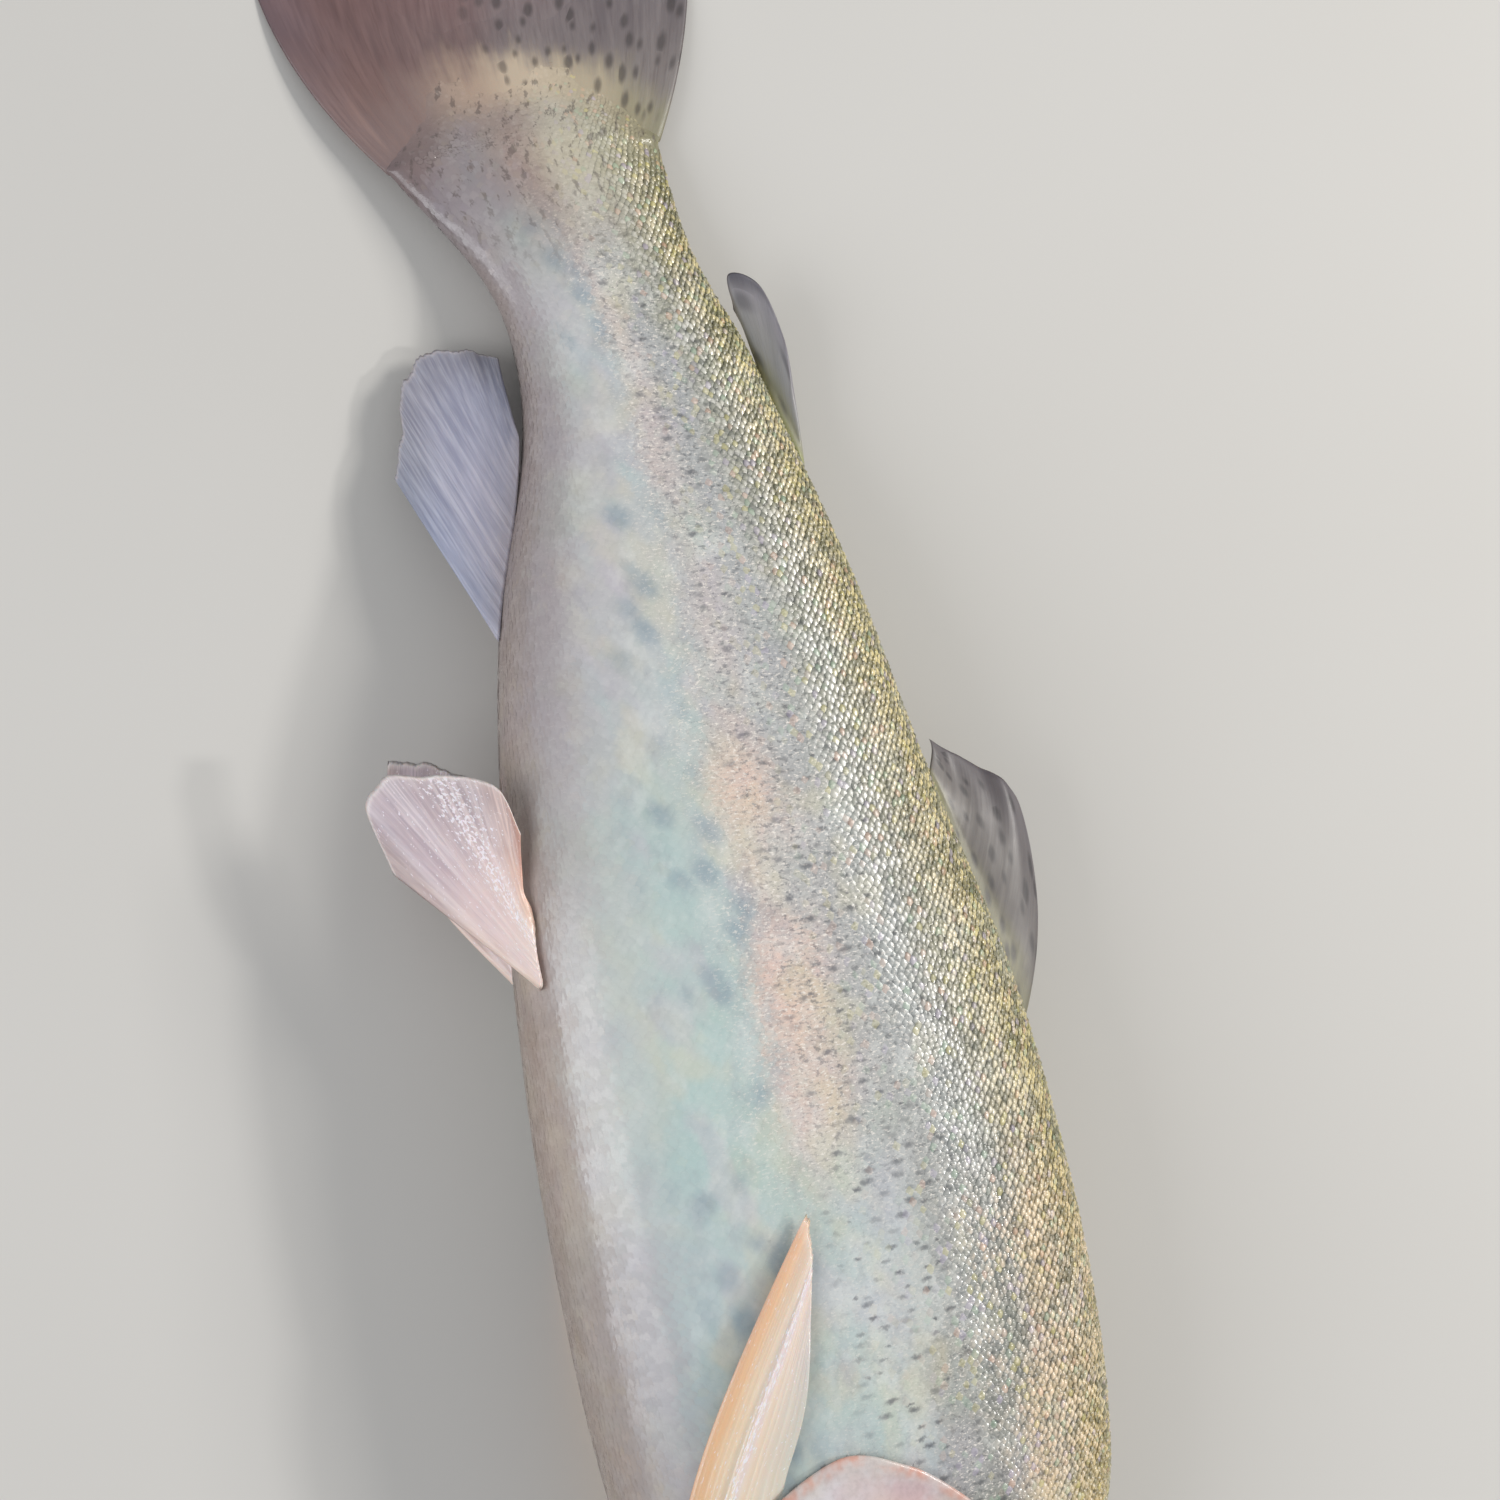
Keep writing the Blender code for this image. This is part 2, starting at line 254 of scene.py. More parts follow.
# normals of a grid of points that closes on itself across its rows, by central differences
def gridNormals(points, rows, columns):
    grid = points.reshape(rows + 1, columns + 1, 3)
    padded = np.concatenate((grid[:, -2:-1], grid, grid[:, 1:2]), axis=1)
    return unit(np.cross((padded[:, 2:] - padded[:, :-2]) / 2, np.gradient(grid, axis=0)))


# smooth repeatable noise from a few rotated waves, about -1 to 1.
def blobs(points, size, seed):
    draw = np.random.default_rng(seed)
    total = 0
    weight = 0
    finer, weaker, waves = 2, 1.9, 7
    for octave in range(2):
        for _ in range(waves):
            way = draw.normal(size=3)
            way *= 2 * pi * finer ** octave / (size * np.linalg.norm(way)) * draw.uniform(0.6, 1.3)
            total = total + np.sin(points @ way + draw.uniform(0, 2 * pi)) / weaker ** octave
        weight += 2.6 / weaker ** octave
    return total / weight


# materials: a node's output, to be added, subtracted, multiplied and divided like a number
class Wire:

    def __init__(self, nodes, socket):
        self.nodes = nodes
        self.socket = socket

    def __add__(self, other):
        return self.nodes.maths("ADD", self, other)

    def __sub__(self, other):
        return self.nodes.maths("SUBTRACT", self, other)

    def __rsub__(self, other):
        return self.nodes.maths("SUBTRACT", other, self)

    def __mul__(self, other):
        return self.nodes.maths("MULTIPLY", self, other)

    def __truediv__(self, other):
        return self.nodes.maths("DIVIDE", self, other)


# short names for the nodes of one tree
class Nodes:

    def __init__(self, tree):
        self.tree = tree
        self.shader = tree.nodes.get("Principled BSDF")

    # a new node: its settings, then what goes into its inputs
    def add(self, kind, feeds=(), **settings):
        node = self.tree.nodes.new(kind)
        for key, value in settings.items():
            setattr(node, key, value)
        for key, value in dict(feeds).items():
            self.feed(node.inputs[key], value)
        return node

    def feed(self, socket, value):
        if isinstance(value, Wire):
            self.tree.links.new(value.socket, socket)
        else:
            socket.default_value = value

    # what goes into the material's own shader
    def finish(self, **feeds):
        for name, value in feeds.items():
            self.feed(self.shader.inputs[shaderInputs[name]], value)

    def out(self, node, output=0):
        return Wire(self, node.outputs[output])

    def attribute(self, name, output="Fac"):
        return self.out(self.add("ShaderNodeAttribute", attribute_name=name), output)

    def objectPlace(self):
        return self.out(self.add("ShaderNodeTexCoord"), "Object")

    def split(self, vector):
        node = self.add("ShaderNodeSeparateXYZ", {0: vector})
        return [self.out(node, k) for k in range(3)]

    def maths(self, operation, a, b=0.0, clamp=False):
        return self.out(self.add("ShaderNodeMath", {0: a, 1: b}, operation=operation, use_clamp=clamp))

    def span(self, value, low, high, start=0.0, end=1.0):
        feeds = {"Value": value, "From Min": low, "From Max": high, "To Min": start, "To Max": end}
        return self.out(self.add("ShaderNodeMapRange", feeds, interpolation_type="SMOOTHSTEP"))

    def ramp(self, value, stops):
        node = self.add("ShaderNodeValToRGB", {0: value})
        band = node.color_ramp
        band.interpolation = "EASE"
        while len(band.elements) < len(stops):
            band.elements.new(0.5)
        for element, (place, colour) in zip(band.elements, stops):
            element.position = place
            element.color = tint(colour)
        return self.out(node)

    def mix(self, amount, a, b, blend="MIX"):
        colours = [tint(value) if isinstance(value, tuple) else value for value in (a, b)]
        feeds = {"Factor": amount, 6: colours[0], 7: colours[1]}
        return self.out(self.add("ShaderNodeMix", feeds, data_type="RGBA", blend_type=blend), 2)

    def noise(self, vector, scale, detail=2.0, rough=0.5, output="Fac"):
        feeds = {"Vector": vector, "Scale": scale, "Detail": detail, "Roughness": rough}
        return self.out(self.add("ShaderNodeTexNoise", feeds), output)

    def stretch(self, vector, scale, location=(0, 0, 0)):
        return self.out(self.add("ShaderNodeMapping", {"Vector": vector, "Scale": scale, "Location": location}))

    # flat cells: the distance from each one's middle, and three random numbers of its own
    def cells(self, vector, scale, randomness=1.0, dimensions="2D"):
        feeds = {"Vector": vector, "Scale": scale, "Randomness": randomness}
        node = self.add("ShaderNodeTexVoronoi", feeds, voronoi_dimensions=dimensions)
        return self.out(node, "Distance"), self.out(node, "Color")

    def bump(self, height, strength, distance=0.0002):
        feeds = {"Strength": strength, "Distance": distance, "Height": height}
        return self.out(self.add("ShaderNodeBump", feeds))


shaderInputs = {
    "colour": "Base Color", "roughness": "Roughness", "normal": "Normal", "coat": "Coat Weight",
    "coatRoughness": "Coat Roughness", "specular": "Specular IOR Level", "flesh": "Subsurface Weight",
    "fleshReach": "Subsurface Radius", "metal": "Metallic", "clear": "Transmission Weight", "bend": "IOR",
}


def newMaterial(name):
    material = bpy.data.materials.new(name)
    material.use_nodes = True
    return material, Nodes(material.node_tree)


# a colour given as 0 to 255, as light
def tint(colour):
    parts = [value / 255 for value in colour]
    return (*[part / 12.92 if part < 0.04045 else ((part + 0.055) / 1.055) ** 2.4 for part in parts], 1.0)


# places along are in cm behind the snout, levels run from 0 at the belly to 1 at the back
markings = {
    "spotSpacing": 0.34,                # cm
    "spotStretch": (1.50, 0.68, 0.0),   # longer across the body than along it
    "spotRagged": (0.14, 0.22, 0.0),
    "spotSize": (0.11, 0.13),           # smallest, and how much larger the largest is
    "blotchSpacing": 0.9375,
    "wander": (0.12, 0.42),             # how far the bands stray at the belly and above
    "shoulderEnds": (12.5, 16.0),
    "frontEnds": (17.0, 26.0),
    "tailBegins": (30.4, 33.6),
    # on each ramp the darker, browner stops near level 0, at the belly's edge, are partly painted shade
    "front": (
        (0.00, (160, 141, 130)), (0.03, (176, 160, 152)), (0.09, (204, 202, 199)), (0.15, (203, 212, 208)),
        (0.26, (192, 213, 208)), (0.37, (190, 206, 203)), (0.46, (220, 200, 190)), (0.55, (186, 184, 182)),
        (0.70, (170, 174, 172)), (0.82, (182, 176, 148)), (0.94, (176, 160, 106)), (0.985, (134, 128, 74)),
        (1.00, (98, 100, 58))),
    "rear": (
        (0.00, (154, 140, 136)), (0.07, (176, 166, 168)), (0.20, (198, 196, 198)), (0.38, (196, 200, 201)),
        (0.48, (202, 195, 193)), (0.60, (180, 182, 182)), (0.74, (172, 171, 152)), (0.88, (172, 161, 114)),
        (0.975, (130, 126, 78)), (1.00, (98, 98, 60))),
    "shoulder": (
        (0.00, (156, 139, 129)), (0.04, (170, 158, 153)), (0.11, (186, 183, 186)), (0.19, (192, 206, 207)),
        (0.34, (192, 207, 205)), (0.55, (192, 202, 202)), (0.62, (166, 168, 164)), (0.74, (150, 149, 138)),
        (0.82, (224, 198, 158)), (0.94, (196, 172, 112)), (0.985, (136, 130, 76)), (1.00, (98, 100, 58))),
    "tail": (
        (0.00, (128, 118, 126)), (0.25, (130, 114, 118)), (0.42, (146, 120, 112)), (0.60, (198, 188, 166)),
        (0.85, (188, 182, 154)), (1.00, (136, 132, 102))),
    "tailEnd": (                        # where the scales run out over the tail fin
        (0.00, (124, 106, 106)), (0.20, (136, 116, 112)), (0.38, (182, 158, 140)), (0.55, (208, 190, 166)),
        (0.75, (192, 178, 152)), (0.90, (160, 152, 124)), (1.00, (134, 130, 100))),
    "head": (
        (0.00, (212, 202, 192)), (0.22, (218, 212, 208)), (0.38, (224, 210, 206)), (0.52, (222, 190, 182)),
        (0.63, (196, 178, 156)), (0.76, (160, 150, 112)), (0.90, (134, 126, 82)), (1.00, (106, 100, 62))),
    "spot": ((0.4, (90, 92, 104)), (0.75, (74, 76, 78)), (1.0, (48, 48, 34))),
    "tide": ((0.50, 0.64, (180, 206, 204)), (0.52, 0.64, (222, 214, 190)), (0.54, 0.66, (206, 198, 206))),
    # the rosy band's colour, its streaks partly painted glints
    "rosyBandAndGlints": (244, 208, 188),
    "lilac": (202, 190, 208),
    "green": (186, 208, 180),
    "milk": (234, 237, 233),
    "dusk": (150, 152, 162),
    "straw": (222, 212, 172),
    "blotch": (144, 162, 174),
    # white of the painted glints on the flank
    "paintedGlint": (252, 244, 234),
    "fleck": (92, 80, 76),
    "raw": ((238, 206, 196), (224, 160, 138)),
    # painted shade in the folds and under the gill cover's rim
    "foldShadeTone": (92, 68, 62),
}


# the trout's colours, with some painted glints and painted shade, from place on the skin: x cm behind the snout,
# y cm around from the back, z from -1 at the belly to 1 at the back. The skin and its scales share them.
def makeMarkings():
    group = bpy.data.node_groups.new("troutMarkings", "ShaderNodeTree")
    group.interface.new_socket("Colour", in_out="OUTPUT", socket_type="NodeSocketColor")
    group.interface.new_socket("Dark", in_out="OUTPUT", socket_type="NodeSocketFloat")
    n = Nodes(group)
    place = n.attribute("place", "Vector")
    along, _, height = n.split(place)
    inSpace = n.objectPlace()

    # a cloud of one colour: noise between two levels, times a mask
    def cloud(base, noise, low, high, mask, colour):
        return n.mix(n.span(noise, low, high) * mask, base, colour)

    # the bands wander a little along the body
    wander = n.noise(inSpace, 18, 4, 0.6)
    fine = n.noise(inSpace, 160, 3, 0.6)
    level = height + (wander - 0.5) * n.span(height, -1.0, -0.5, *markings["wander"]) + (fine - 0.5) * 0.10
    level = level * 0.5 + 0.5
    pastShoulder = n.span(along, *markings["shoulderEnds"])
    front = n.mix(pastShoulder, n.ramp(level, markings["shoulder"]), n.ramp(level, markings["front"]))
    base = n.mix(n.span(along, *markings["frontEnds"]), front, n.ramp(level, markings["rear"]))

    # large soft clouds of mint, straw and lilac below the middle of the flank
    tide = n.split(n.noise(n.stretch(place, (0.5, 0.9, 0.0), (4, 6, 0)), 1.0, output="Color"))
    lowFlank = n.span(level, 0.10, 0.22) * n.span(level, 0.62, 0.44)
    for part, (low, high, colour) in zip(tide, markings["tide"]):
        base = n.mix(n.span(part, low, high) * lowFlank * 0.42, base, colour)

    # the rosy band along the flank, in short cross streaks that are partly painted glints
    streaks = n.noise(n.stretch(place, (6.0, 1.6, 0.0)), 2.6, 4, 0.65)
    rosyBandAndGlints = n.span(level, 0.36, 0.44) * n.span(level, 0.62, 0.50) * n.span(streaks, 0.38, 0.66, 0.35, 1.0)
    rosyBandAndGlints = rosyBandAndGlints * n.span(n.noise(inSpace, 24), 0.44, 0.60)
    rosyBandAndGlints = rosyBandAndGlints * n.span(along, 27.0, 21.0, 0.2, 1.0) * n.span(along, 12.0, 15.0, 0.35, 1.0)
    base = n.mix(rosyBandAndGlints * 0.80, base, markings["rosyBandAndGlints"])
    lilac = n.noise(inSpace, 60)
    base = cloud(base, lilac, 0.50, 0.72, n.span(level, 0.0, 0.2, 0.06, 0.20), markings["lilac"])
    green = n.noise(n.stretch(inSpace, (1, 1, 1), (3, 1, 5)), 48)
    base = cloud(base, green, 0.52, 0.72, n.span(level, 0.0, 0.2, 0.05, 0.20), markings["green"])

    # milk-white, mint and straw clouds over the silver
    milk = n.noise(n.stretch(inSpace, (1.0, 1.3, 1.0), (2, 7, 1)), 95, 4, 0.65)
    milkHere = n.span(milk, 0.48, 0.70, 0.0, 0.36) * n.span(level, 0.04, 0.24, 0.15, 1.0)
    base = n.mix(milkHere, base, markings["milk"])
    dusk = n.noise(n.stretch(inSpace, (1.0, 1.4, 1.0), (5, 3, 8)), 120, 4, 0.65)
    base = cloud(base, dusk, 0.50, 0.72, n.span(level, 0.02, 0.5, 0.14, 0.34), markings["dusk"])
    straw = n.noise(n.stretch(inSpace, (1.0, 1.2, 1.0), (9, 2, 4)), 70, 2, 0.55)
    base = cloud(base, straw, 0.53, 0.70, n.span(level, 0.2, 0.5, 0.12, 0.30), markings["straw"])

    # soft blue-grey blotches left from the young fish, below the middle of the flank
    blotch = n.cells(n.stretch(place, (1.0, 1.25, 0.0)), 1 / markings["blotchSpacing"])[0]
    blotchHere = n.span(level, 0.16, 0.26) * n.span(level, 0.48, 0.38)
    blotchHere = blotchHere * n.span(n.noise(place, 0.55, 1), 0.44, 0.60)
    base = n.mix(n.span(blotch, 0.46, 0.10) * blotchHere * 0.62, base, markings["blotch"])

    # dark spots, small and ragged
    scatter = n.add("ShaderNodeVectorMath", {0: n.noise(place, 9.0, 3, 0.7, "Color"), 1: markings["spotRagged"]},
                    operation="MULTIPLY")
    ragged = n.out(n.add("ShaderNodeVectorMath", {0: place, 1: n.out(scatter)}, operation="ADD"))
    apart, spotCell = n.cells(n.stretch(ragged, markings["spotStretch"]), 1 / markings["spotSpacing"], 0.85)
    size, chance, strength = n.split(spotCell)
    smallest, larger = markings["spotSize"]
    edge = apart / (size * larger + smallest)
    spotsHere = n.span(level, 0.38, 0.50)
    share = 0.84 - n.span(along, *markings["shoulderEnds"], 0.16, 0.0)
    kept = n.maths("GREATER_THAN", chance + spotsHere * 0.50, share)
    spots = n.span(edge, 1.7, 0.3) * kept * spotsHere * n.span(strength, 0.0, 1.0, 0.40, 1.0)
    # fewer specks and painted glints ahead, where the spots stand apart on the mint
    many = n.maths("MAXIMUM", pastShoulder, n.span(level, 0.56, 0.66))
    speck = n.noise(n.stretch(place, (5.2, 2.9, 0.0)), 2.3, 4, 0.66)
    specks = n.span(speck, 0.53, 0.63) * n.span(level, 0.36, 0.50) * n.span(many, 0.0, 1.0, 0.25, 1.0)
    pepper = n.noise(n.stretch(place, (9.0, 4.4, 0.0), (1, 8, 0)), 3.0, 4, 0.7)
    peppered = n.span(pepper, 0.55, 0.64) * n.span(level, 0.30, 0.46) * n.span(many, 0.0, 1.0, 0.35, 1.0)
    # painted highlights: small white glints in short dashes, fewer low on the flank
    paintedGlintNoise = n.noise(n.stretch(place, (8.0, 3.6, 0.0), (5, 2, 0)), 2.8, 4, 0.72)
    paintedGlintHere = n.span(paintedGlintNoise, 0.54, 0.62) * n.span(level, 0.28, 0.44, 0.12, 1.0)
    base = n.mix(paintedGlintHere * n.span(many, 0.0, 1.0, 0.35, 1.0) * 0.80, base, markings["paintedGlint"])
    dark = n.maths("MAXIMUM", spots * 0.78, specks * 0.56)
    dark = n.maths("MAXIMUM", dark, peppered * 0.38)
    base = n.mix(dark, base, n.ramp(level, markings["spot"]))

    # the scaled root of the tail: cream above, darker brown and lilac below, partly painted shade, with ragged dark
    # flecks
    tailHere = n.span(along, *markings["tailBegins"])
    base = n.mix(tailHere * 0.78, base, n.ramp(level, markings["tail"]))
    nearEnd = n.attribute("tailward") + (wander - 0.5) * 0.8
    base = n.mix(n.span(nearEnd, 0.25, 0.95) * 0.9, base, n.ramp(level, markings["tailEnd"]))
    flecks = n.span(n.noise(n.stretch(place, (1.3, 2.6, 0.0), (3, 1, 0)), 2.2, 3, 0.6), 0.55, 0.64)
    base = n.mix(flecks * tailHere * 0.60, base, markings["fleck"])

    # the head: bronze above, silver and rose on the cheek and gill cover, pale below
    onHead, raw, foldShade = n.split(n.attribute("zone", "Vector"))
    headTone = n.ramp(level, markings["head"])
    headTone = cloud(headTone, lilac, 0.45, 0.7, 0.35, (196, 176, 200))
    headTone = cloud(headTone, green, 0.5, 0.7, 0.14, (190, 204, 168))
    pearly = n.noise(n.stretch(inSpace, (1, 1, 1), (8, 1, 2)), 70, 4, 0.65)
    headTone = cloud(headTone, pearly, 0.50, 0.66, n.span(level, 0.74, 0.50, 0.0, 0.45), (236, 236, 240))
    headSpots = n.span(edge, 1.25, 0.6) * n.span(level, 0.58, 0.74) * n.span(chance, 0.30, 0.55)
    base = n.mix(onHead, base, n.mix(headSpots * 0.8, headTone, (48, 46, 36)))
    # the raw orange rim of the gill cover, and painted shade in the folds
    uneven = n.noise(inSpace, 130, 3, 0.65)
    sore = n.mix(n.span(uneven, 0.40, 0.58), *markings["raw"])
    base = n.mix(raw * n.span(uneven, 0.34, 0.62, 0.34, 0.86), base, sore)
    base = n.mix(foldShade * 0.75, base, markings["foldShadeTone"])

    n.add("NodeGroupOutput", {"Colour": base, "Dark": dark})
    return group


markingGroup = makeMarkings()


def skinMaterial():
    material, n = newMaterial("wetTroutSkin")
    marks = n.add("ShaderNodeGroup", node_tree=markingGroup)
    inSpace = n.objectPlace()
    grain = n.noise(inSpace, 900, 3, 0.6)
    pores = n.cells(inSpace, 700, dimensions="3D")[0]
    n.finish(
        colour=n.mix(n.span(grain, 0.35, 0.75, 0.0, 0.14), n.out(marks, "Colour"), (90, 84, 72)),
        roughness=n.span(grain, 0.3, 0.7, 0.24, 0.42), normal=n.bump(grain + pores * 0.6, 0.25),
        coat=0.35, coatRoughness=0.12, specular=0.55)
    return material


scaleTones = {
    # the pearl of lighter scales and of each bead's painted highlight
    "pearlHighlight": ((0.0, (238, 236, 230)), (0.5, (252, 238, 204)), (1.0, (252, 232, 166))),
    "pearlHighlightAhead": (255, 226, 192),
    "dull": ((0.3, (118, 122, 122)), (0.9, (92, 92, 58))),
    # painted shade toward each scale's rim
    "shade": ((0.3, (120, 124, 124)), (0.9, (104, 98, 56))),
    # the hollows' own dark olive, with painted shade
    "gap": ((0.0, (112, 118, 120)), (1.0, (58, 56, 26))),
    # a few scales have a colour of their own: from, to, colour
    "odd": ((0.02, 0.035, (236, 180, 150)), (0.32, 0.345, (226, 214, 120)),
            (0.62, 0.64, (170, 204, 172)), (0.92, 0.935, (200, 184, 216))),
}


def scaleMaterial():
    material, n = newMaterial("troutScales")
    marks = n.add("ShaderNodeGroup", node_tree=markingGroup)
    along, _, height = n.split(n.attribute("place", "Vector"))
    tone, rim, bead, hue = (n.attribute(name) for name in ("tone", "rim", "bead", "hue"))

    # from its least on the belly to its most where the scales stand up as beads
    def onBeads(least, most):
        return n.span(bead, 0.0, 0.9, least, most)

    # each scale a little lighter or darker
    patches = n.noise(n.objectPlace(), 75, 3, 0.6)
    pearlHighlight = n.ramp(n.span(height, 0.45, 0.95), scaleTones["pearlHighlight"])
    ahead = n.span(along, 15.0, 11.0) * n.span(patches, 0.4, 0.6, 0.3, 0.9)
    pearlHighlight = n.mix(ahead, pearlHighlight, scaleTones["pearlHighlightAhead"])
    colour = n.mix(n.span(tone, 0.45, 1.0) * onBeads(0.06, 0.55), n.out(marks, "Colour"), pearlHighlight)
    darker = n.maths("MULTIPLY", n.span(tone, 0.55, 0.0) * onBeads(0.06, 0.66),
                     n.span(patches, 0.62, 0.36, 0.5, 1.3), clamp=True)
    colour = n.mix(darker, colour, n.ramp(height, scaleTones["dull"]))
    for low, high, shade in scaleTones["odd"]:
        picked = n.span(hue, low - 0.02, low) * n.span(hue, high + 0.02, high)
        colour = n.mix(picked * n.span(height, -0.1, 0.6, 0.03, 0.40), colour, shade)
    # painted shade toward each rim, and a painted highlight on the crown: round beads on the back, flat shingles on
    # the flank
    colour = n.mix(n.span(rim, 0.34, 0.80) * onBeads(0.02, 0.36), colour, n.ramp(height, scaleTones["shade"]))
    clear = 1.0 - n.out(marks, "Dark")
    paintedCrownHighlight = n.span(rim, 0.66, 0.20) * onBeads(0.0, 0.95) * (clear * n.span(tone, 0.1, 0.8, 0.12, 1.0))
    paintedCrownHighlight = n.maths("MULTIPLY", paintedCrownHighlight, n.span(patches, 0.36, 0.62, 0.45, 1.2), clamp=True)
    colour = n.mix(paintedCrownHighlight, colour, pearlHighlight)
    # the hollows between the scales are dark olive, partly painted shade, on the back and fade out down the flank
    hollowOliveAndShade = n.ramp(n.span(height, 0.2, 1.0), scaleTones["gap"])
    colour = n.mix(n.span(rim, 0.74, 1.0) * onBeads(0.03, 0.60), colour, hollowOliveAndShade)
    n.finish(colour=colour, roughness=n.span(tone, 0.0, 1.0, 0.42, 0.22), coat=0.40, coatRoughness=0.14)
    return material


# skin: one closed piece from the snout out over the root of the tail fin
skinSize = {
    "headRows": 170,
    "bodyRows": 96,
    "tailRows": 22,
    "sides": 304,
    "eyePlace": 0.070,
    "eyeAround": radians(62),
    "eyeDepth": 0.0032,
    "middleHeight": 0.024,      # over the floor
}


# a smooth run of points through a few given ones
def curvePoints(points, count=80):
    points = np.array(points, float)
    steps = np.concatenate(([0], np.cumsum(np.linalg.norm(np.diff(points, axis=0), axis=1))))
    at = np.linspace(0, steps[-1], count)
    return np.stack([curveThrough(at, steps, points[:, k]) for k in range(2)], 1)


# distance to a curve in side view, share of the way along it, and which side, + above or behind
def nearCurve(x, y, points):
    line = curvePoints(points)
    best = np.full(x.shape, 1e9)
    share = np.zeros(x.shape)
    side = np.zeros(x.shape)
    for k in range(len(line) - 1):
        a, b = line[k], line[k + 1]
        run = b - a
        t = np.clip(((x - a[0]) * run[0] + (y - a[1]) * run[1]) / (run @ run), 0, 1)
        dx, dy = x - a[0] - t * run[0], y - a[1] - t * run[1]
        gap = np.hypot(dx, dy)
        closer = gap < best
        best = np.where(closer, gap, best)
        share = np.where(closer, (k + t) / (len(line) - 1), share)
        side = np.where(closer, np.sign(run[0] * dy - run[1] * dx), side)
    return best, share, side


# lines of the head in side view: mm behind the snout, mm above the long axis. A line may have a groove with a
# depth and width, a ridge with a height, distance, width and side, and painted shade along its fold. It fades at
# both ends.
headLines = {
    "mouth": {
        "line": ((-2.0, -3.3), (6.0, -4.4), (14.0, -6.0), (22.0, -8.8), (30.0, -12.6), (37.0, -16.4),
                 (41.0, -18.6)),
        "groove": (1.5, 0.55), "ridge": (0.45, 1.3, 0.8, 0), "dark": (0.9, 0.6), "ends": (0.0, 0.93)},
    "preopercle": {
        "line": ((47.0, 15.0), (54.0, 9.0), (57.5, 0.0), (58.0, -9.0), (55.0, -17.5), (48.0, -23.0),
                 (40.0, -24.5)),
        "groove": (0.55, 0.65), "ridge": (0.40, 1.6, 1.4, -1), "dark": (0.35, 0.5), "ends": (0.12, 0.88)},
    "cheekRidge": {
        "line": ((45.5, 9.0), (50.5, 3.0), (52.0, -5.0), (50.0, -13.0), (43.0, -18.0)),
        "ridge": (0.22, 0.0, 1.3, 0), "ends": (0.2, 0.8)},
    "opercleSeam": {
        "line": ((58.0, -10.0), (66.0, -14.0), (76.0, -18.5), (85.0, -22.0)),
        "groove": (0.34, 0.55), "dark": (0.22, 0.45), "ends": (0.1, 0.9)},
    "coverFoot": {
        "line": ((44.0, -25.5), (53.0, -27.5), (62.0, -29.5), (71.0, -29.0), (79.0, -25.0)),
        "groove": (0.75, 0.7), "ridge": (0.35, 1.5, 1.2, 1), "dark": (0.5, 0.55), "ends": (0.1, 0.92)},
    "jawSeam": {
        "line": ((3.0, -9.5), (12.0, -14.0), (22.0, -19.0), (32.0, -22.0), (42.0, -24.0)),
        "groove": (0.40, 0.7), "dark": (0.2, 0.5), "ends": (0.15, 0.85)},
    "skullEdge": {
        "line": ((22.0, 20.5), (34.0, 21.5), (46.0, 22.5), (58.0, 24.0)),
        "groove": (0.22, 1.5), "ends": (0.25, 0.7)},
}
headForm = {
    "nostrils": ((11.6, 11.2, 0.75), (14.0, 11.9, 0.95)),   # mm behind the snout, mm up, mm radius
    "jawBone": (5.3, 0.75),       # mm over the mouth line, lift
    "jawBoneEnd": (37.5, -14.2),
    "throatBones": (0.22, 2.1),   # lift, mm apart
    "cheekHollow": (41, -4, 7.5, 6.5, 0.35),   # place, half length, half height, depth
}


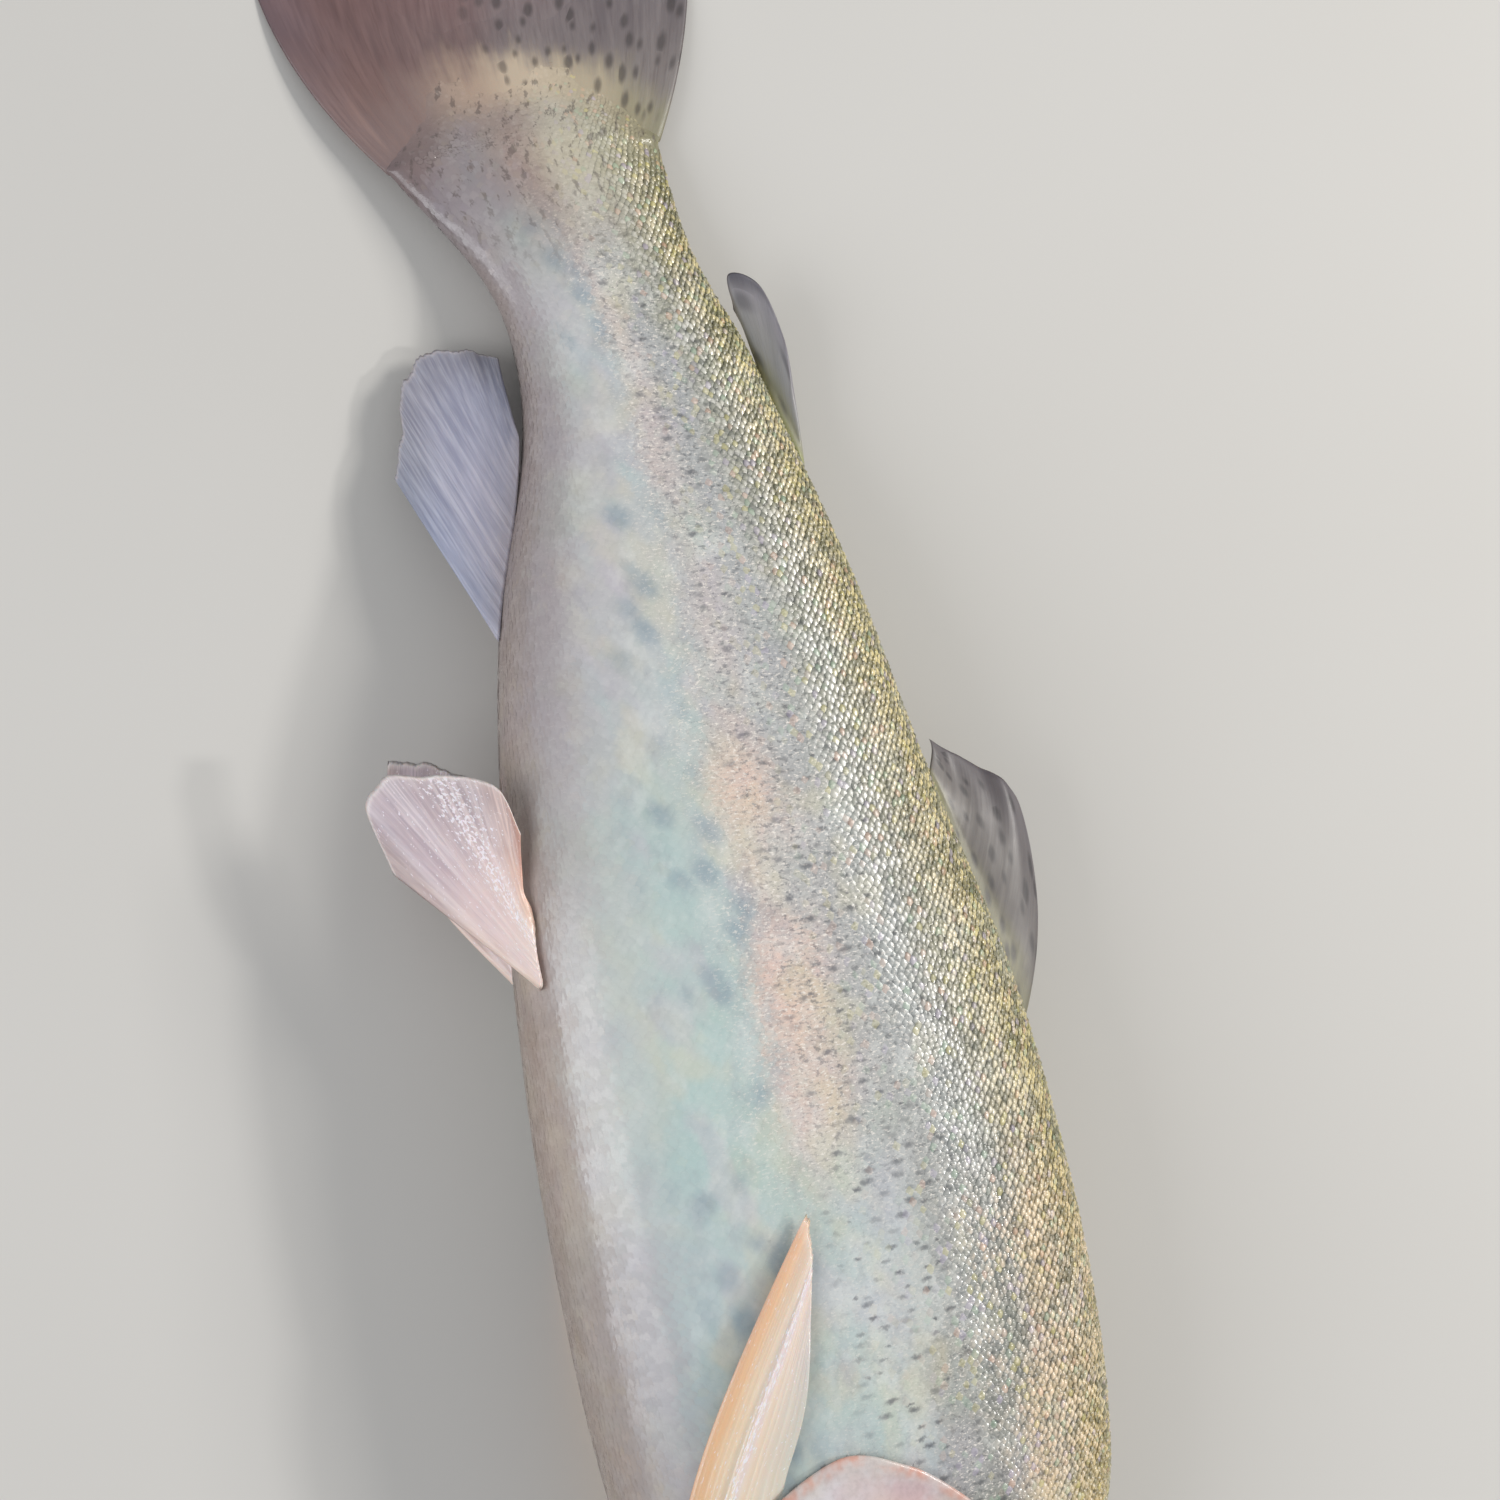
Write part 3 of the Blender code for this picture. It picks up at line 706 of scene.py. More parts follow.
# lift in mm over the plain form, and how much painted shade each place gets for lying in a fold, a hole or the
# eye's socket
def headRelief(x, y, point, eyes):
    lift = np.zeros(x.shape)
    foldShade = np.zeros(x.shape)
    nearest = {}
    for name, form in headLines.items():
        gap, share, side = nearCurve(x, y, form["line"])
        first, last = form["ends"]
        ends = ease(share, 1.0, last) * (ease(share, 0.0, first) if first else 1)
        if "groove" in form:
            depth, width = form["groove"]
            lift -= depth * bell(gap, width) * ends
        if "ridge" in form:
            rise, away, width, where = form["ridge"]
            lift += rise * bell(gap - away, width) * ends * (side == where if where else 1)
        # painted shade along the fold
        if "dark" in form:
            amount, width = form["dark"]
            foldShade += amount * bell(gap, width) * ends
        nearest[name] = gap, share, side, ends

    # upper jaw bone: a long plate over the mouth line, rounded behind
    gap, share, side, ends = nearest["mouth"]
    tall, rise = headForm["jawBone"]
    endX, endY = headForm["jawBoneEnd"]
    plate = ease(gap, tall + 0.3, tall - 0.6) * (side > 0) * ease(share, 0.10, 0.22) * ease(gap, 0.2, 1.0)
    roundEnd = ease(np.hypot(x - endX, y - endY), 3.9, 3.1) * (x > endX - 1.5)
    lift += rise * np.maximum(plate * ease(x, endX + 2.7, endX + 1.3), roundEnd)
    foot = np.abs(gap - tall) * (side > 0) + 5 * (side <= 0)
    footHere = ease(share, 0.18, 0.28) * (x < endX + 3.5)
    lift -= 0.30 * bell(foot, 0.5) * footHere
    # painted shade at the jaw bone's foot
    foldShade += 0.25 * bell(foot, 0.45) * footHere

    # thin bones in the membrane under the gill covers
    gap, share, side, ends = nearest["coverFoot"]
    rise, apart = headForm["throatBones"]
    lift += rise * np.cos(gap * 2 * pi / apart) * (side < 0) * ends * ease(gap, 0.8, 2.2) * ease(x, 40, 47)

    for holeX, holeY, radius in headForm["nostrils"]:
        gap = np.hypot(x - holeX, y - holeY)
        lift += 0.30 * bell(gap - radius * 1.25, 0.40)
        lift -= 1.3 * bell(gap, radius * 0.75)
        # painted shade in the nostrils
        foldShade += 1.0 * bell(gap, radius * 0.7)

    middleX, middleY, long, tall, depth = headForm["cheekHollow"]
    lift -= depth * bell(np.hypot((x - middleX) / long, (y - middleY) / tall), 1.0)
    for centre, out in eyes:
        offset = point - centre
        rise = offset @ out
        ring = np.sqrt(np.maximum((offset ** 2).sum(-1) - rise ** 2, 0)) / mm
        near = rise > 0
        lift = np.where(near, lift * ease(ring, 5.6, 8.4), lift)
        lift -= near * 3.1 * ease(ring, 6.15, 5.35)                     # socket
        lift += near * 0.50 * bell(ring - 6.35, 0.55)                   # lid
        lift -= near * 0.22 * bell(ring - 8.3, 0.8)
        lift += near * 0.18 * bell(ring - 10.4, 1.2)
        # painted shade in a ring at the edge of the eye's socket
        foldShade = np.where(near, foldShade * ease(ring, 6.0, 8.0) + 0.85 * bell(ring - 5.6, 0.45), foldShade)
    return lift, np.clip(foldShade, 0, 1)


def eyePlaces():
    places = []
    for side in (1, -1):
        around = np.array(side * skinSize["eyeAround"])
        seat = surfaceFrame(np.array(skinSize["eyePlace"]), around, skinSize["eyeDepth"])
        places.append((seat[0], seat[-1]))
    return places


# metres around from the back, + on the right
def arcAt(along, around):
    return arcFromBack(np.clip(along, 0, arcAlongs[-1] - 0.002), np.abs(around)) * np.sign(around)


# 0 on the body and 1 where the scales end, over the tail fin
def tailwardAt(along, height):
    rootEnd = scaledEnd((1 - height) / 2)
    return ease(along, rootEnd - body["tailFade"], rootEnd)


def makeSkin():
    size = skinSize
    length = body["length"]
    profile = gillEdgeProfile
    back = profile[:, 0] * mm / length      # each place of the profile behind the rim, in body lengths
    headRows, bodyRows, tailRows, sides = (size[key] for key in ("headRows", "bodyRows", "tailRows", "sides"))
    rows = headRows + len(profile) + bodyRows + tailRows - 1
    mesh, u, v = gridMesh("troutSkin", rows, sides)
    row = np.rint(u * rows).astype(int)
    around = (v * 2 - 1) * pi
    rim, opening, height = gillRim(around), gillOpen(around), heightAt(around)
    first, last = headRows, headRows + len(profile) - 1
    # rows run from the snout to just ahead of the rim, across its edge, and on to the tail
    trail = rim + back[-1]
    bodyShare = np.clip((row - last) / bodyRows, 0, 1)
    along = np.where(row < first, (rim + back[0]) * np.clip(row / first, 0, 1) ** 1.25,
                     trail + (body["stalkEnd"] - trail) * bodyShare)
    inEdge = (row >= first) & (row <= last)
    index = np.clip(row - first, 0, len(profile) - 1)
    even = between(back[0], back[-1], index / (len(profile) - 1))
    along = np.where(inEdge, rim + between(even, back[index], opening), along)
    beyond = np.clip((row - last - bodyRows) / tailRows, 0, 1)
    end = scaledEnd((1 - height) / 2) + body["bareRoot"]
    along = np.where(beyond > 0, between(body["stalkEnd"], end, beyond), along)

    point = bodyPoint(along, around, body["coat"])
    # the normals are those of the form without the edge. The grid's points are not stored row by row, so they
    # are sorted for this and put back.
    plain = bodyPoint(np.where(inEdge, rim + even, along), around, body["coat"])
    order = np.lexsort((v, u))
    normal = np.empty_like(point)
    normal[order] = gridNormals(plain[order], rows, sides).reshape(-1, 3)
    if (normal[:, 2] * (plain[:, 2] - size["middleHeight"])).sum() < 0:
        normal = -normal

    # the head's tones end at the gill cover, and fade slowly into the back at the nape
    headHere = ease(along, rim + 0.004, rim - between(0.050, 0.012, opening))
    lift, foldShade = headRelief(along * length / mm, (plain[:, 1] + body["centre"][1]) / mm, point, eyePlaces())
    fade = ease(along, rim - 0.006, rim - 0.022)
    raw = np.where(inEdge & (index <= 10), ease(profile[index, 0], -3.2, -0.6), 0) * opening
    # painted shade on the skin tucked under the gill cover's rim
    underRimShade = np.where(inEdge & (index >= 8) & (index <= 11), 0.9, 0) * opening
    foldShade = np.maximum(foldShade * fade, underRimShade)
    lift = lift * fade + np.where(inEdge, profile[index, 1], 0) * opening
    lift += 0.10 * blobs(point, 0.012, 5) * headHere
    point = point + normal * (lift * mm)[:, None]
    point[:, 2] = np.maximum(point[:, 2], 0.6 * body["coat"])
    mesh.vertices.foreach_set("co", point.ravel())

    place = np.stack((along * length * 100, arcAt(along, around) * 100, height), 1)      # the first two in cm
    addField(mesh, "place", place, "FLOAT_VECTOR")
    addField(mesh, "zone", np.stack((headHere, raw, foldShade), 1), "FLOAT_VECTOR")
    addField(mesh, "tailward", tailwardAt(along, height))
    closeMesh(mesh)
    placed("troutSkin", mesh, skinMaterial(), (
        "head", "lower_jaw", "gill_cover_right", "gill_cover_left", "trunk_front", "trunk_rear", "tail_stalk"))
    print("skin done:", len(mesh.polygons), "faces")


# arc length around the body, looked up instead of measured again for every scale
arcAlongs = np.linspace(0.0, 1.056, 212)
arcArounds = np.linspace(0.0, pi, 241)


def arcTableMade():
    table = np.zeros((len(arcAlongs), len(arcArounds)))
    for k, along in enumerate(arcAlongs):
        ring = bodyPoint(along, arcArounds, body["coat"])
        table[k, 1:] = np.cumsum(np.linalg.norm(np.diff(ring, axis=0), axis=1))
    return table


arcTable = arcTableMade()


# metres around the skin from the back's midline, by reading between the table's entries
def arcFromBack(along, around):
    a = np.clip(along / arcAlongs[-1] * (len(arcAlongs) - 1), 0, len(arcAlongs) - 1.001)
    b = np.clip(around / pi * (len(arcArounds) - 1), 0, len(arcArounds) - 1.001)
    i, j = a.astype(int), b.astype(int)
    s, t = a - i, b - j
    return ((arcTable[i, j] * (1 - t) + arcTable[i, j + 1] * t) * (1 - s)
            + (arcTable[i + 1, j] * (1 - t) + arcTable[i + 1, j + 1] * t) * s)


# scales
scaleSize = {
    "upperPitch": 0.00172,    # between rows of scales around the body, above the lateral line
    "upperStep": 0.00094,     # between columns along it
    "lowerPitch": 0.00215,
    "lowerStep": 0.00118,
    "smaller": ((0.86, 0.62, 0.90), (0.62, 0.95, 1.01), (0.50, 1.01, 1.05)),   # share left, from and to along
    "long": 2.75,             # in steps
    "wide": 1.02,             # in pitches
    "lift": 0.00044,
    "underCover": 0.0006,
    "overFloor": 0.00002,
    "sharp": 75,              # degrees
    "seed": 7,
}


# a rounded plate with a dome, its free edge behind. x toward the tail, y around, z out
def oneScale():
    bm = bmesh.new()
    bmesh.ops.create_circle(bm, cap_ends=True, segments=8, radius=1.0)
    bmesh.ops.rotate(bm, verts=bm.verts, cent=(0, 0, 0), matrix=Matrix.Rotation(pi / 8, 3, "Z"))
    top = bmesh.ops.extrude_face_region(bm, geom=bm.faces[:])["geom"]
    face = [f for f in top if isinstance(f, bmesh.types.BMFace)]
    bmesh.ops.translate(bm, verts=face[0].verts, vec=(0, 0, 0.45))
    bmesh.ops.inset_region(bm, faces=face, thickness=0.30, depth=0.42)
    bmesh.ops.translate(bm, verts=face[0].verts, vec=(0.14, 0, 0))
    paintedCrownHighlight = bmesh.ops.poke(bm, faces=face)["verts"]
    bmesh.ops.translate(bm, verts=paintedCrownHighlight, vec=(0.10, 0, 0.62))
    bmesh.ops.triangulate(bm, faces=[f for f in bm.faces if len(f.verts) > 4])
    bmesh.ops.recalc_face_normals(bm, faces=bm.faces)
    bm.verts.ensure_lookup_table()
    bm.verts.index_update()
    points = np.array([v.co for v in bm.verts])
    faces = [[v.index for v in f.verts] for f in bm.faces]
    bm.free()
    return points, faces


# columns of scales from the lateral line up to the back, or down to the belly
def scaleRows(upper, draw):
    pitch0, step0 = (scaleSize[("upper" if upper else "lower") + part] for part in ("Pitch", "Step"))
    found = []
    along, column = 0.185, 0
    while along < 1.052:
        # smaller scales toward the tail, and on the nape
        shrink = 1.0
        for smaller, start, end in scaleSize["smaller"]:
            shrink = between(shrink, smaller, float(ease(along, start, end)))
        shrink *= between(0.88, 1.0, float(ease(along, 0.19, 0.30)))
        ring = arcFromBack(np.full(len(arcArounds), along), arcArounds)
        middle = np.interp(pi / 2, arcArounds, ring)
        pitch = pitch0 * shrink
        many = int((middle if upper else ring[-1] - middle) / pitch + 0.3)
        arcs = (np.arange(many) + 0.5 * (column % 2) + 0.25) * pitch
        arcs = middle - arcs if upper else middle + arcs
        arcs = arcs[(arcs > 0.2 * pitch) & (arcs < ring[-1] - 0.2 * pitch)]
        around = np.interp(arcs, ring, arcArounds)
        for side in (1, -1):
            jogged = np.interp(arcs + draw.normal(0, 0.09 * pitch, len(arcs)), ring, arcArounds)
            shifted = along + draw.normal(0, 0.16 * step0, len(around)) / body["length"]
            alike = [np.full(len(arcs), value) for value in (shrink, pitch0, step0)]
            found.append(np.stack((shifted, side * jogged, *alike)))
        along += step0 * shrink / body["length"]
        column += 1
    return np.concatenate(found, axis=1)


def scalePlaces():
    draw = np.random.default_rng(scaleSize["seed"])
    columns = np.concatenate([scaleRows(upper, draw) for upper in (True, False)], axis=1)
    along, around = columns[:2]
    # the first ones come out from under the gill cover
    kept = along > gillRim(around) - scaleSize["underCover"] / body["length"]
    # the scaled root of the tail fin ends in a soft fan, a little longer along each ray
    f = (1 - heightAt(around)) / 2
    rootEnd = scaledEnd(f)
    kept &= along < rootEnd + 0.002 * np.cos(f * caudal["rays"] * 2 * pi) + 0.004 * draw.normal(size=len(f))
    kept &= draw.uniform(size=len(f)) > 0.72 * ease(along, rootEnd - 0.028, rootEnd + 0.002) * (along > 0.985)
    return columns[:, kept]


# the scales in columns of numbers: where each is, its frame, how it stands up and what its colours go by
def scaleForms(draw):
    along, around, shrink, pitch, step = scalePlaces()
    count = len(along)
    point, rear, side, out = surfaceFrame(along, around, body["coat"])
    # each tips both ways with the slope of the hollow behind the gill cover
    further, turned = 0.002, 0.01
    dip = gillDip(along, around)
    beside = surfaceFrame(along, around + turned, body["coat"])[0] - point
    slope = ((gillDip(along + further, around) - dip) / (further * body["length"]))[:, None]
    sideStep = (beside * side).sum(1)
    onSkin = sideStep != 0      # the few past the skin's end have no frame, and are left out
    sideSlope = ((gillDip(along, around + turned) - dip) / np.where(onSkin, sideStep, 1.0))[:, None]
    point = point - out * dip[:, None]
    rear, side, out = rear - out * slope, side - out * sideSlope, out + rear * slope + side * sideSlope
    height = heightAt(around)
    tailward = tailwardAt(along, height)
    behindRim = along - gillRim(around)
    # bold beads on the back, soft shingles on the flank, all but gone on the belly and near the throat
    beaded = ease(height, 0.22, 0.72)
    relief = between(0.20, 1.0, beaded) * between(1.0, 0.26, ease(height, 0.1, -0.6))
    relief *= between(1.0, 0.6, ease(along, 0.95, 1.0)) * draw.uniform(0.72, 1.12, count)
    relief *= between(1.0, 0.35, tailward * (along > 0.97)) * between(0.30, 1.0, ease(behindRim, 0.004, 0.024))
    # how much each stands out as a bead: less on the tail stalk and behind the head
    bead = ease(height, 0.14, 0.76) * between(1.0, 0.55, ease(along, 0.84, 0.96)) * between(1.0, 0.4, tailward)
    bead *= between(0.30, 1.0, ease(behindRim, 0.0, 0.07))
    turn = draw.normal(0, 0.10, count)[:, None]
    scaled = shrink * draw.uniform(0.90, 1.08, count) * between(1.0, 0.80, tailward * (along > 0.97))
    # small ones where the tail root narrows to an edge below
    scaled = scaled * between(1.0, 0.55, ease(along, 0.86, 0.93) * ease(height, -0.74, -0.96))
    rear, side = rear * np.cos(turn) + side * np.sin(turn), side * np.cos(turn) - rear * np.sin(turn)
    long = step * scaleSize["long"] * between(1.15, 0.92, beaded)
    wide = pitch * scaleSize["wide"] * between(1.08, 0.94, beaded)
    return {
        "along": along, "around": around, "height": height, "tailward": tailward, "bead": bead,
        "point": point, "rear": rear, "side": side, "out": out, "relief": relief, "scaled": scaled,
        "long": long, "wide": wide, "tone": draw.uniform(0, 1, count), "hue": draw.uniform(0, 1, count),
        "onSkin": onSkin,
    }


# one mesh of many copies of the scale, each at its own points, and its map
def scaleMesh(name, faces, places, centres, patch):
    many, each = len(places), len(patch)
    loops = np.concatenate([np.array(face) for face in faces])
    counts = np.tile([len(face) for face in faces], many)
    mesh = bpy.data.meshes.new(name)
    mesh.vertices.add(many * each)
    mesh.vertices.foreach_set("co", places.ravel())
    mesh.loops.add(len(loops) * many)
    mesh.loops.foreach_set("vertex_index", (loops[None] + np.arange(many)[:, None] * each).ravel())
    mesh.polygons.add(len(counts))
    mesh.polygons.foreach_set("loop_start", np.concatenate(([0], np.cumsum(counts)[:-1])))
    mesh.update(calc_edges=True)
    maps = mesh.uv_layers.new(name="OFBake")
    maps.data.foreach_set("uv", (centres[:, None] + patch[loops][None]).ravel())
    return mesh


def makeScales():
    points, faces = oneScale()
    form = scaleForms(np.random.default_rng(scaleSize["seed"] + 1))
    along, around, scaled = form["along"], form["around"], form["scaled"]
    px, py, pz = points.T
    a = px[None] * 0.5 * form["long"][:, None]
    b = py[None] * 0.5 * form["wide"][:, None] * (1 - 0.10 * px[None])
    # rises from under the scale ahead to its free edge
    rising = ease(px, -1.0, 0.35)
    h = (pz - 0.45) * 0.85 * rising + 0.22 * rising - 0.32 * (1 - rising)
    offset = (a[..., None] * form["rear"][:, None] * scaled[:, None, None]
              + b[..., None] * form["side"][:, None] * scaled[:, None, None]
              + (h[None, :] * scaleSize["lift"] * form["relief"][:, None])[..., None] * form["out"][:, None])
    places = form["point"][:, None] + offset
    places[..., 2] = np.maximum(places[..., 2], scaleSize["overFloor"])
    # colours are read where each point lies, so a spot crosses several scales
    marks = np.stack((
        along[:, None] * 100 * body["length"] + a * 100 * scaled[:, None],
        arcAt(along, around)[:, None] * 100 + b * 100 * scaled[:, None],
        np.broadcast_to(form["height"][:, None], a.shape)), -1)
    centres = np.stack((along / 1.06, around / (2 * pi) + 0.5), 1)
    patch = np.stack((px, py), 1) * 0.0015
    rimShare = np.clip(np.hypot(px, py), 0, 1)
    material = scaleMaterial()
    names = ["scales" + part for part in ("Shoulder", "Breast", "Flank", "Waist", "Vent", "Stalk", "Tail")]
    ends = np.quantile(along, np.linspace(0, 1, len(names) + 1))
    for name, low, high in zip(names, ends[:-1], ends[1:]):
        chosen = np.flatnonzero(form["onSkin"] & (along >= low) & ((along < high) | (high == ends[-1])))
        mesh = scaleMesh(name, faces, places[chosen], centres[chosen], patch)
        addField(mesh, "place", marks[chosen], "FLOAT_VECTOR")
        addField(mesh, "zone", np.zeros((len(mesh.vertices), 3)), "FLOAT_VECTOR")
        for field in ("tone", "hue", "bead", "tailward"):
            addField(mesh, field, np.repeat(form[field][chosen], len(points)))
        addField(mesh, "rim", np.tile(rimShare, len(chosen)))
        mesh.shade_smooth()
        mesh.set_sharp_from_angle(angle=radians(scaleSize["sharp"]))
        placed(name, mesh, material, ())
    print("scales done:", form["onSkin"].sum())


# fins: membrane and rays from place on the fin: x across its rays, y out along them, z on a ray or between
def finMaterial(name, tones):
    material, n = newMaterial(name)
    place = n.attribute("finPlace", "Vector")
    f, s, ray = n.split(place)
    soft = n.noise(n.objectPlace(), 90, 3, 0.6)
    streak = n.noise(n.stretch(place, (34, 2.6, 0)), 1.0, 3, 0.6)
    hair = n.noise(n.stretch(place, (120, 5, 0), (7, 3, 0)), 1.0, 3, 0.65)
    softly, hairily = soft - 0.5, hair - 0.5
    out = s + softly * 0.22
    rays = n.ramp(out, tones["rays"])
    streaks = tones.get("streaks", 1.0)
    colour = n.mix(n.span(streak, 0.35, 0.72, 0.0, 0.55 * streaks), n.ramp(out, tones["membrane"]), rays)
    thin = n.span(ray, 0.25, 0.85) * n.span(hair, 0.30, 0.55, 0.35, 1.0)
    colour = n.mix(thin * tones["rayShare"], colour, rays)
    colour = n.mix(n.span(hair, 0.48, 0.72, 0.0, 0.38 * streaks), colour, tones["grain"])
    across = n.ramp(f + softly * 0.12, tones["across"])
    colour = n.mix(tones.get("acrossShare", 0.5), colour, across, "MULTIPLY")
    if "root" in tones:
        pastRoot = n.attribute("pastRoot") + (streak - 0.5) * 0.30 + softly * 0.25
        flesh = n.ramp(1.0 - f, tones["root"])
        colour = n.mix(n.span(pastRoot, 0.22, -0.04, 0.0, 0.85), colour, flesh)
    if "spots" in tones:
        count, reach, strength = tones["spots"]
        apart, cell = n.cells(n.stretch(place, (count, reach, 0.0)), 1.0)
        chance, _, larger = n.split(cell)
        wide = apart + softly * 0.30 + hairily * 0.24 + larger * 0.16
        spots = n.span(wide, 0.46, 0.16) * n.maths("GREATER_THAN", chance, 0.42)
        spots = spots * n.span(f, *tones.get("spotsWhere", (1.2, 1.1)))
        spots = spots * n.span(s, *tones.get("spotsOut", (0.02, 0.10)))
        colour = n.mix(spots * strength, colour, tones["spotTone"])
    if "paintedShine" in tones:
        # painted highlight: wet white glints along one strong ray
        middle, half = tones["paintedShine"]
        paintedGlintSpots = n.noise(n.stretch(place, (46, 38, 0), (1, 5, 0)), 1.0, 2, 0.6)
        nearer = n.span(n.maths("ABSOLUTE", f - middle), half, 0.0) * 0.14
        colour = n.mix(n.span(paintedGlintSpots + nearer, 0.64, 0.70) * 0.85, colour, (255, 248, 255))
    edge, share, reach = tones["edge"]
    colour = n.mix(n.span(s + hairily * 0.05, *reach) * share, colour, edge)
    joints = n.noise(n.stretch(place, (70, 34, 0)), 1.0, 2, 0.6)
    relief = n.bump(joints * ray + hair * 0.8, tones.get("relief", 0.22))
    n.finish(colour=colour, roughness=n.span(soft, 0.3, 0.7, 0.34, 0.50), normal=relief,
             coat=tones.get("gloss", 0.18), coatRoughness=0.2,
             flesh=tones.get("clear", 0.15), fleshReach=(0.002, 0.0012, 0.0008))
    return material


# what a fin has where its own dictionary says nothing else. Lengths are in metres.
plainFin = {
    "rays": 6,
    "thick": 0.0009,
    "perRay": 10,             # points across each ray
    "steps": 56,
    "ragged": 0.012,          # how worn its edge is
    "ripple": (0.0, 3, 0.0),  # height, waves across, slant
    "start": -0.06,           # how deep its root goes into the body, in ray lengths
    "fleshy": 0.0,            # more thickness at the root
    "rayed": 1.0,             # how strongly the rays stand out
    "ridge": (0.5, 0.0),      # one thick ray: where across, height
    "seed": 1,
    "apart": 0.0,             # how far a pair's roots are set apart upward
    "overFloor": 0.00012,
}


# a closed fin: one loop of points goes out over its upper face and back under its lower one
def makeFin(name, node, material, root, ray, own, seed=0):
    size = {**plainFin, **own}
    rays = size["rays"]
    mesh, u, v = gridMesh(name, 2 * rays * size["perRay"], size["steps"])
    loop = u * 2
    f = np.where(loop <= 1, loop, 2 - loop)
    face = np.where(loop <= 1, 1.0, -1.0)
    draw = np.random.default_rng(size["seed"] + seed)
    worn = sum(np.cos(2 * pi * f * waves + draw.uniform(0, 2 * pi)) / 3 for waves in (1.7, 3.9, 7.3)) - 1
    # rays of uneven strength and spacing, each forking twice
    firmness = np.interp(f * rays, np.arange(rays) + 0.5, draw.uniform(0.35, 1.0, rays))
    share = f * rays + 0.16 * np.sin(2 * pi * 0.37 * rays * f + size["seed"] + seed)
    cell = np.abs(share - np.floor(share) - 0.5)
    s = v ** 0.92
    branch = np.abs(cell - 0.25 * ease(s, 0.38, 0.85))
    twig = np.abs(branch - 0.115 * ease(s, 0.62, 1.0))
    onRay = bell(twig, between(0.22, 0.085, ease(s, 0.1, 0.95))) * firmness * size["rayed"]
    notch = -(1 - bell(branch, 0.20)) * 0.6 * size["rayed"]
    reach = size["start"] + (1 - size["start"]) * s
    reach = reach * (1 + size["ragged"] * (worn + notch) * ease(s, 0.3, 1.0))

    def placeAt(across, outward):
        start, fromRoot = (np.stack([np.broadcast_to(part, across.shape) for part in parts], 1)
                           for parts in (root(across), ray(across, outward)))
        return start + fromRoot

    point = placeAt(f, reach)
    tiny, least = 0.004, 0.02
    sideways = placeAt(np.clip(f + tiny, 0, 1), reach) - placeAt(np.clip(f - tiny, 0, 1), reach)
    outward = placeAt(f, np.maximum(reach, least) + tiny) - placeAt(f, np.maximum(reach, least) - tiny)
    normal = unit(np.cross(sideways, outward))
    amount, waves, slant = size["ripple"]
    wave = amount * np.sin(2 * pi * (waves * f + slant * s)) * ease(s, 0.05, 1.0)
    wave += 0.3 * amount * np.sin(2 * pi * (2.3 * waves * f - 1.3 * slant * s) + 1.1) * ease(s, 0.2, 1.0)
    rim = np.sqrt(np.clip(1 - (np.abs(2 * f - 1)) ** 14, 0, 1))     # rounded front and rear edges
    tip = np.sqrt(np.clip(1 - v ** 10, 0, 1))
    half = size["thick"] / 2 * between(1.0, 0.42, ease(s, 0.0, 0.9)) * (0.90 + 0.20 * onRay)
    half += size["fleshy"] * (1 - ease(s, 0.0, 0.22))
    half += size["ridge"][1] * bell(f - size["ridge"][0], 0.022) * between(1.0, 0.4, s)
    half *= rim * tip
    point = point + normal * (wave + face * half)[:, None]
    point[:, 2] = np.maximum(point[:, 2], size["overFloor"] + (face > 0) * half * 1.2)
    mesh.vertices.foreach_set("co", point.ravel())
    addField(mesh, "finPlace", np.stack((f, s, onRay), 1), "FLOAT_VECTOR")
    if "pastRoot" in own:
        # how far out past the scaled root, so that the two can fade together
        addField(mesh, "pastRoot", s - (scaledEnd(f) - body["stalkEnd"]) * body["rayReach"])
    closeMesh(mesh, merge=0.000004)
    placed(name, mesh, material, (node,))


# rays that sweep back from the root, in curves
def sweep(reach, lean, curl, sink, s, outward, bow=1.4):
    angle = np.radians(lean + curl * s * s)
    return -np.sin(angle) * reach * s, outward * np.cos(angle) * reach * s, -sink * power(s, bow)


# straight rays fanned between tips: place across, then the tip's place in mm from its own root
def fanned(tips, bow=0.0):
    table = np.array(tips)

    def ray(f, s):
        x, y, z = (curveThrough(f, table[:, 0], table[:, k]) * mm for k in (1, 2, 3))
        return x * s, y * s + bow * s * (1 - s), z * power(s, 1.4)
    return ray


# a fin's root: along the skin from one place to another, and a little off it
def rootLine(own, side=1):
    size = {**plainFin, **own}
    start, end = size["root"]

    def root(f):
        x, y, z = np.moveaxis(bodyPoint(between(start, end, f), side * size["around"]), -1, 0)
        return x, y + size["shift"], z + side * size["apart"]
    return root


# root: from and to, as shares of the length. around: where that is on the body. shift: off it, toward the back.
# tips: place across, then mm from the ray's own root. bow: how far the rays bend.
dorsal = {
    "root": (0.464, 0.610), "around": 0.0, "shift": 0.0012, "rays": 14, "ragged": 0.004,
    "ripple": (0.0007, 1.3, 0.4), "start": -0.12, "fleshy": 0.0006, "rayed": 0.25, "seed": 21,
}
dorsalTones = {
    "membrane": ((0.0, (152, 150, 92)), (0.12, (134, 130, 104)), (0.35, (112, 106, 104)), (1.0, (104, 98, 102))),
    "rays": ((0.0, (160, 158, 112)), (0.3, (132, 126, 120)), (1.0, (114, 108, 110))),
    "across": ((0.0, (238, 238, 240)), (1.0, (255, 255, 250))),
    "grain": (108, 102, 102), "rayShare": 0.15, "relief": 0.08, "gloss": 0.1,
    "spots": (8, 6, 0.75), "spotTone": (58, 54, 56), "edge": ((84, 76, 82), 0.55, (0.94, 0.99)),
}


